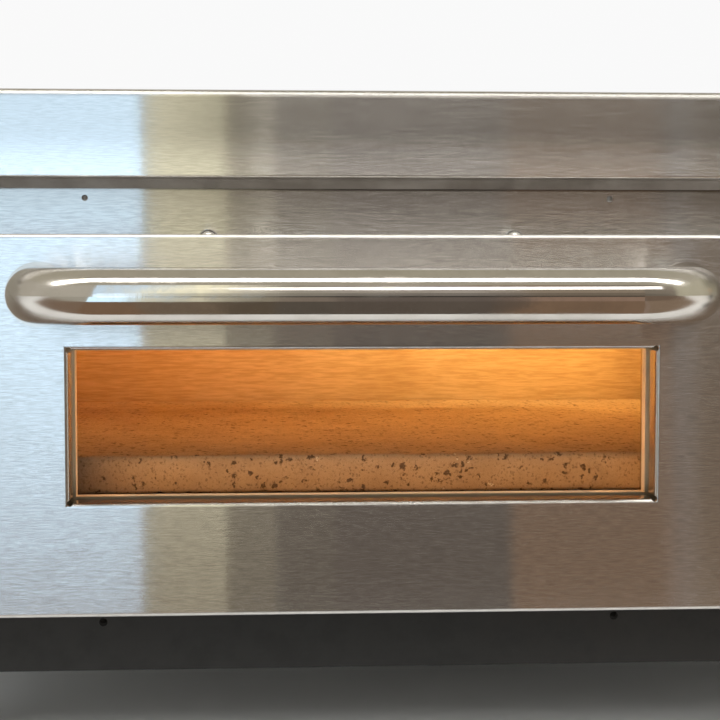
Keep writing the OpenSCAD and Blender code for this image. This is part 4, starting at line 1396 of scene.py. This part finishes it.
@dataclass
class ChamberLight:
    """The light in the chamber: its lamp, the hot elements' glow, and what falls between the panes."""

    lamp_watts: float = 0.10
    lamp_tint: Colour = (1.0, 0.55, 0.14)
    lamp_size: float = 0.02
    lamp_out: float = 0.012
    warm: Colour = (1.0, 0.43, 0.115)
    bright: Colour = (1.0, 0.63, 0.22)
    roof_watts: float = 0.18
    roof_share: tuple[float, float] = (0.9, 0.6)
    roof_under: float = 0.002
    roof_ahead: float = 0.05
    wall_watts: tuple[float, float] = (0.195, 0.45)
    wall_aside: float = 0.26
    wall_gap: float = 0.14
    wall_rise: float = 0.028
    wall_share: float = 0.5
    wall_strip: float = 0.012
    wall_spread_deg: float = 130.0
    mouth_watts: float = 0.0235
    mouth_tint: Colour = (1.0, 0.47, 0.15)
    mouth_aside: float = 0.05
    mouth_gap: float = 0.018
    mouth_tilt: float = 0.003
    mouth_share: float = 0.8
    mouth_strip: float = 0.006
    jamb_watts: float = 0.0068
    jamb_tint: Colour = (1.0, 0.62, 0.33)
    jamb_gap: float = 0.035
    jamb_high: float = 0.055
    foot_watts: float = 0.018
    foot_tint: Colour = (1.0, 0.88, 0.76)
    foot_gap: float = 0.030
    foot_wide: float = 0.25
    pane_strip: float = 0.003

    def build(self) -> None:
        """Hangs the lamps."""
        low, high = box("lamp_glass")
        bulb = bpy.data.lights.new("chamber_lamp", "POINT")
        bulb.shadow_soft_size = self.lamp_size
        hang(bulb, (low.x - self.lamp_out, (low.y + high.y) / 2, (low.z + high.z) / 2), self.lamp_watts, self.lamp_tint)
        for lamp in (*self.glows(), *self.pane_glows()):
            lamp.build()

    def glows(self) -> list[SoftLamp]:
        """Sets out the warm, soft light of the hot elements under the roof and at the mouth.

        Returns:
            The lamps.
        """
        low, high = box("baking_stone")
        roof = box("upper_element")[0].z - self.roof_under
        wall = box("chamber_back_wall")[0].y
        middle, wide, deep = (low + high) / 2, high.x - low.x, high.y - low.y
        lit = middle.y - self.roof_ahead
        across, along = self.roof_share
        lamps = [SoftLamp("roof_glow", (middle.x, lit, roof), (middle.x, lit, 0.0), (across * wide, along * deep),
                          self.roof_watts, self.warm)]
        for name, aside, watts, tint in zip(("wall_glow_left", "wall_glow_right"), (-self.wall_aside, self.wall_aside),
                                            self.wall_watts, (self.warm, self.bright)):
            x = middle.x + aside * wide
            lamps.append(SoftLamp(name, (x, wall - self.wall_gap, roof), (x, wall, roof + self.wall_rise),
                                  (self.wall_share * wide, self.wall_strip), watts, tint,
                                  spread_deg=self.wall_spread_deg))
        x = middle.x + self.mouth_aside
        lamps.append(SoftLamp("mouth_glow", (x, low.y - self.mouth_gap, middle.z + self.mouth_tilt),
                              (x, low.y, middle.z - self.mouth_tilt), (self.mouth_share * wide, self.mouth_strip),
                              self.mouth_watts, self.mouth_tint))
        return lamps

    def pane_glows(self) -> list[SoftLamp]:
        """Sets out the chamber's light that falls between the panes on the sides and foot of their spacer.

        Returns:
            The lamps.
        """
        low, high = box("glass_spacer")
        x, y, z = (low + high) / 2
        lamps = [SoftLamp(name, (edge + inward, y, z), (edge, y, z), (self.pane_strip, self.jamb_high),
                          self.jamb_watts, self.jamb_tint)
                 for name, edge, inward in (("left_jamb_glow", low.x, self.jamb_gap),
                                            ("right_jamb_glow", high.x, -self.jamb_gap))]
        return [*lamps, SoftLamp("foot_glow", (x, y, low.z + self.foot_gap), (x, y, low.z),
                                 (self.foot_wide, self.pane_strip), self.foot_watts, self.foot_tint)]


@dataclass(frozen=True)
class Sector:
    """A slice of the studio in front of the door, from one slope of sight to another.

    Its wall is lit in four bands from the ground up.
    """

    name: str
    left: float
    right: float
    near: Colour
    far: Colour
    wall: Colour
    levels: Sequence[float]

    def tints(self) -> list[Colour]:
        """Returns the tint of each of its flats, from the near ground up."""
        return [self.near, self.far, *(tuple(level * part for part in self.wall) for level in self.levels)]


PART_MIDDLE = (0.0, 0.0, 0.18)
DAYLIGHT = (1.0, 0.98, 0.95)
STUDIO_LAMPS = (
    SoftLamp("top_soft", (0.0, -1.0, 2.0), PART_MIDDLE, (4.6, 0.5), 44.0, DAYLIGHT, True),
    SoftLamp("high_front", (0.68, -2.4, 1.55), PART_MIDDLE, (1.74, 0.45), 6.6, DAYLIGHT, True),
    SoftLamp("left_window", (-2.3, -1.2, 1.5), PART_MIDDLE, (1.6, 1.8), 34.0, (0.90, 0.96, 1.0)),
    SoftLamp("right_fill", (2.4, -0.6, 1.5), PART_MIDDLE, (1.6, 1.6), 24.0, (1.0, 0.93, 0.85)),
    SoftLamp("rear_fill", (0.4, 2.6, 1.8), PART_MIDDLE, (2.4, 1.4), 50.0, (1.0, 0.98, 0.96)),
)
SECTORS = (
    Sector("left_wall", -1.1, -0.20, (0.24, 0.165, 0.115), (0.45, 0.42, 0.35), (0.54, 0.50, 0.42),
           (1.0, 1.0, 1.0, 1.0)),
    Sector("window", -0.20, -0.0779, (0.23, 0.145, 0.09), (1.10, 1.50, 1.80), (0.80, 1.00, 1.20),
           (2.0, 1.6, 1.0, 1.0)),
    Sector("curtain", -0.0779, -0.0253, (0.20, 0.15, 0.105), (0.80, 0.75, 0.57), (0.90, 0.85, 0.63),
           (0.45, 0.9, 1.5, 1.5)),
    Sector("alcove", -0.0253, 0.0056, (0.13, 0.10, 0.07), (0.35, 0.31, 0.23), (0.60, 0.55, 0.45),
           (0.45, 0.75, 1.3, 1.3)),
    Sector("recess", 0.0056, 0.0428, (0.12, 0.10, 0.08), (0.25, 0.20, 0.16), (0.50, 0.45, 0.37),
           (0.2, 0.6, 0.8, 0.8)),
    Sector("room", 0.0428, 0.1566, (0.13, 0.105, 0.085), (0.16, 0.13, 0.11), (0.50, 0.44, 0.38),
           (0.12, 0.5, 0.9, 0.9)),
    Sector("corner", 0.1566, 0.2586, (0.24, 0.155, 0.10), (0.33, 0.22, 0.16), (0.50, 0.40, 0.30),
           (0.2, 0.43, 0.65, 0.7)),
    Sector("post", 0.2586, 0.2747, (0.30, 0.22, 0.17), (0.20, 0.15, 0.12), (0.50, 0.46, 0.42),
           (0.4, 0.6, 0.6, 0.6)),
    Sector("right_wall", 0.2747, 1.1, (0.28, 0.20, 0.14), (0.20, 0.14, 0.10), (0.45, 0.38, 0.30),
           (0.3, 0.44, 0.6, 0.7)),
)


@dataclass
class Studio:
    """A pale floor, soft lamps and the flats that the steel reflects."""

    floor_half: float = 9.0
    floor_tint: Colour = (0.78, 0.775, 0.76)
    sky: Colour = (0.95, 0.95, 0.95)
    sky_level: float = 0.35
    inner_level: float = 0.10
    eye_x: float = -0.1147
    eye_gap: float = 0.75
    ground_near: float = 0.10
    ground_far: float = 0.62
    wall_gap: float = 3.0
    wall_heights: Sequence[float] = (0.26, 0.86, 1.75, 3.2)
    ceiling_tint: Colour = (0.47, 0.43, 0.335)
    left_tint: Colour = (0.54, 0.50, 0.42)
    right_tint: Colour = (0.56, 0.52, 0.39)
    ceiling_back: float = 2.2
    lift: float = 0.002

    def build(self) -> None:
        """Builds the floor, the light and the flats."""
        self.build_world()
        self.build_floor()
        for light in (*STUDIO_LAMPS, ChamberLight()):
            light.build()
        self.build_flats()

    def build_world(self) -> None:
        """Builds a plain pale surround, which lights softly."""
        world = bpy.data.worlds.new("studio_surround")
        world.use_nodes = True
        bpy.context.scene.world = world
        nodes = world.node_tree.nodes
        wiring = Wiring(world.node_tree)
        ray = wiring.add("LightPath").outputs
        level = wiring.spread(ray["Is Transmission Ray"], 0.0, 1.0, self.sky_level, self.inner_level)
        light = wiring.fill(nodes["Background"], Color=self.sky, Strength=level)[0]
        seen = wiring.fill(wiring.add("Background"), Color=self.sky, Strength=1.0)[0]
        direct = wiring.calc("MAXIMUM", ray["Is Camera Ray"], ray["Is Glossy Ray"])
        direct = wiring.calc("MAXIMUM", direct, ray["Is Transmission Ray"])
        direct = wiring.calc("MULTIPLY", direct, wiring.calc("LESS_THAN", ray["Diffuse Depth"], 0.5))
        choice = wiring.add("MixShader")
        for socket, value in zip(choice.inputs, (direct, light, seen)):
            wiring.feed(socket, value)
        wiring.fill(nodes["World Output"], Surface=choice.outputs[0])

    def build_floor(self) -> None:
        """Builds the plain pale floor."""
        half = self.floor_half
        corners = [(-half, -half, 0.0), (half, -half, 0.0), (half, half, 0.0), (-half, half, 0.0)]
        paint = FloorPaint("studio_floor", tint=self.floor_tint, surround=self.sky)
        mesh_piece("studio_floor", corners, [(0, 1, 2, 3)], paint)

    def _flat(self, name: str, corners: Sequence[Point], tint: Colour) -> None:
        """Stands a flat that only shiny surfaces see.

        Args:
            name: its name.
            corners: its four corners.
            tint: its colour.
        """
        made = bpy.data.materials.new(name)
        made.use_nodes = True
        nodes = made.node_tree.nodes
        wiring = Wiring(made.node_tree)
        nodes.remove(nodes["Principled BSDF"])
        wiring.fill(nodes["Material Output"], Surface=wiring.fill(wiring.add("Emission"), Color=tint)[0])
        mesh = bpy.data.meshes.new(name)
        mesh.from_pydata(corners, [], [(0, 1, 2, 3)])
        mesh.materials.append(made)
        flat = show(name, mesh)
        for ray in ("camera", "diffuse", "transmission", "volume_scatter", "shadow"):
            setattr(flat, f"visible_{ray}", False)

    def build_flats(self) -> None:
        """Stands the flats in front of the door, in slices that meet at the eye's mirror image."""
        face = box("door_outer_panel")[0].y

        def at(slope: float, gap: float, z: float) -> Point:
            """Returns the point of a slice's edge at a distance in front of the door."""
            return (self.eye_x + slope * (self.eye_gap + gap), face - gap, z)

        far = self.wall_gap
        edges = [(self.ground_near, self.lift), (self.ground_far, self.lift), (far, self.lift)]
        edges += [(far, height) for height in self.wall_heights]
        for part in SECTORS:
            for n, (tint, low, high) in enumerate(zip(part.tints(), edges, edges[1:])):
                self._flat(f"{part.name}_flat_{n}", [at(part.left, *low), at(part.right, *low), at(part.right, *high),
                                                     at(part.left, *high)], tint)
        top, front, back = self.wall_heights[-1], face - far, self.ceiling_back
        x_left, x_right = at(SECTORS[0].left, far, top)[0], at(SECTORS[-1].right, far, top)[0]
        self._flat("ceiling_flat", [(x_left, front, top), (x_right, front, top), (x_right, back, top),
                                    (x_left, back, top)], self.ceiling_tint)
        for name, x, tint in (("left_side_flat", x_left, self.left_tint),
                              ("right_side_flat", x_right, self.right_tint)):
            self._flat(name, [(x, front, self.lift), (x, back, self.lift), (x, back, top), (x, front, top)], tint)


@dataclass
class PhotoCamera:
    """The photograph's camera, worked out from the edges of door, window and visor."""

    place: Point = (-0.1147, -0.96265, 0.240)
    turn_deg: float = 3.37
    dip_deg: float = 3.43
    focal_px: float = 1601.0
    frame_px: float = 720.0
    sensor_mm: float = 36.0

    def build(self) -> None:
        """Puts up the camera and makes it the scene's."""
        data = bpy.data.cameras.new("photo_camera")
        data.sensor_width = self.sensor_mm
        data.lens = self.focal_px / self.frame_px * self.sensor_mm
        camera = show("photo_camera", data)
        camera.location = self.place
        camera.rotation_euler = (math.radians(90 - self.dip_deg), 0.0, -math.radians(self.turn_deg))
        bpy.context.scene.camera = camera


def corners(bounds: Sequence[Sequence[float]]) -> list[list[float]]:
    """Returns a box as plain lists of numbers."""
    return [[float(value) for value in corner] for corner in bounds]


def main() -> None:
    """Builds the scene."""
    logging.basicConfig(level=logging.INFO, format="%(name)s: %(message)s")
    bpy.context.scene.view_settings.view_transform = "Standard"
    for assembly in (PhotoCamera(), CaseShell(), OvenDoor(), BakingChamber(), ControlColumn(), HingeGear(),
                     Undercarriage(), Lagging(), Studio()):
        assembly.build()


if __name__ == "__main__":
    main()
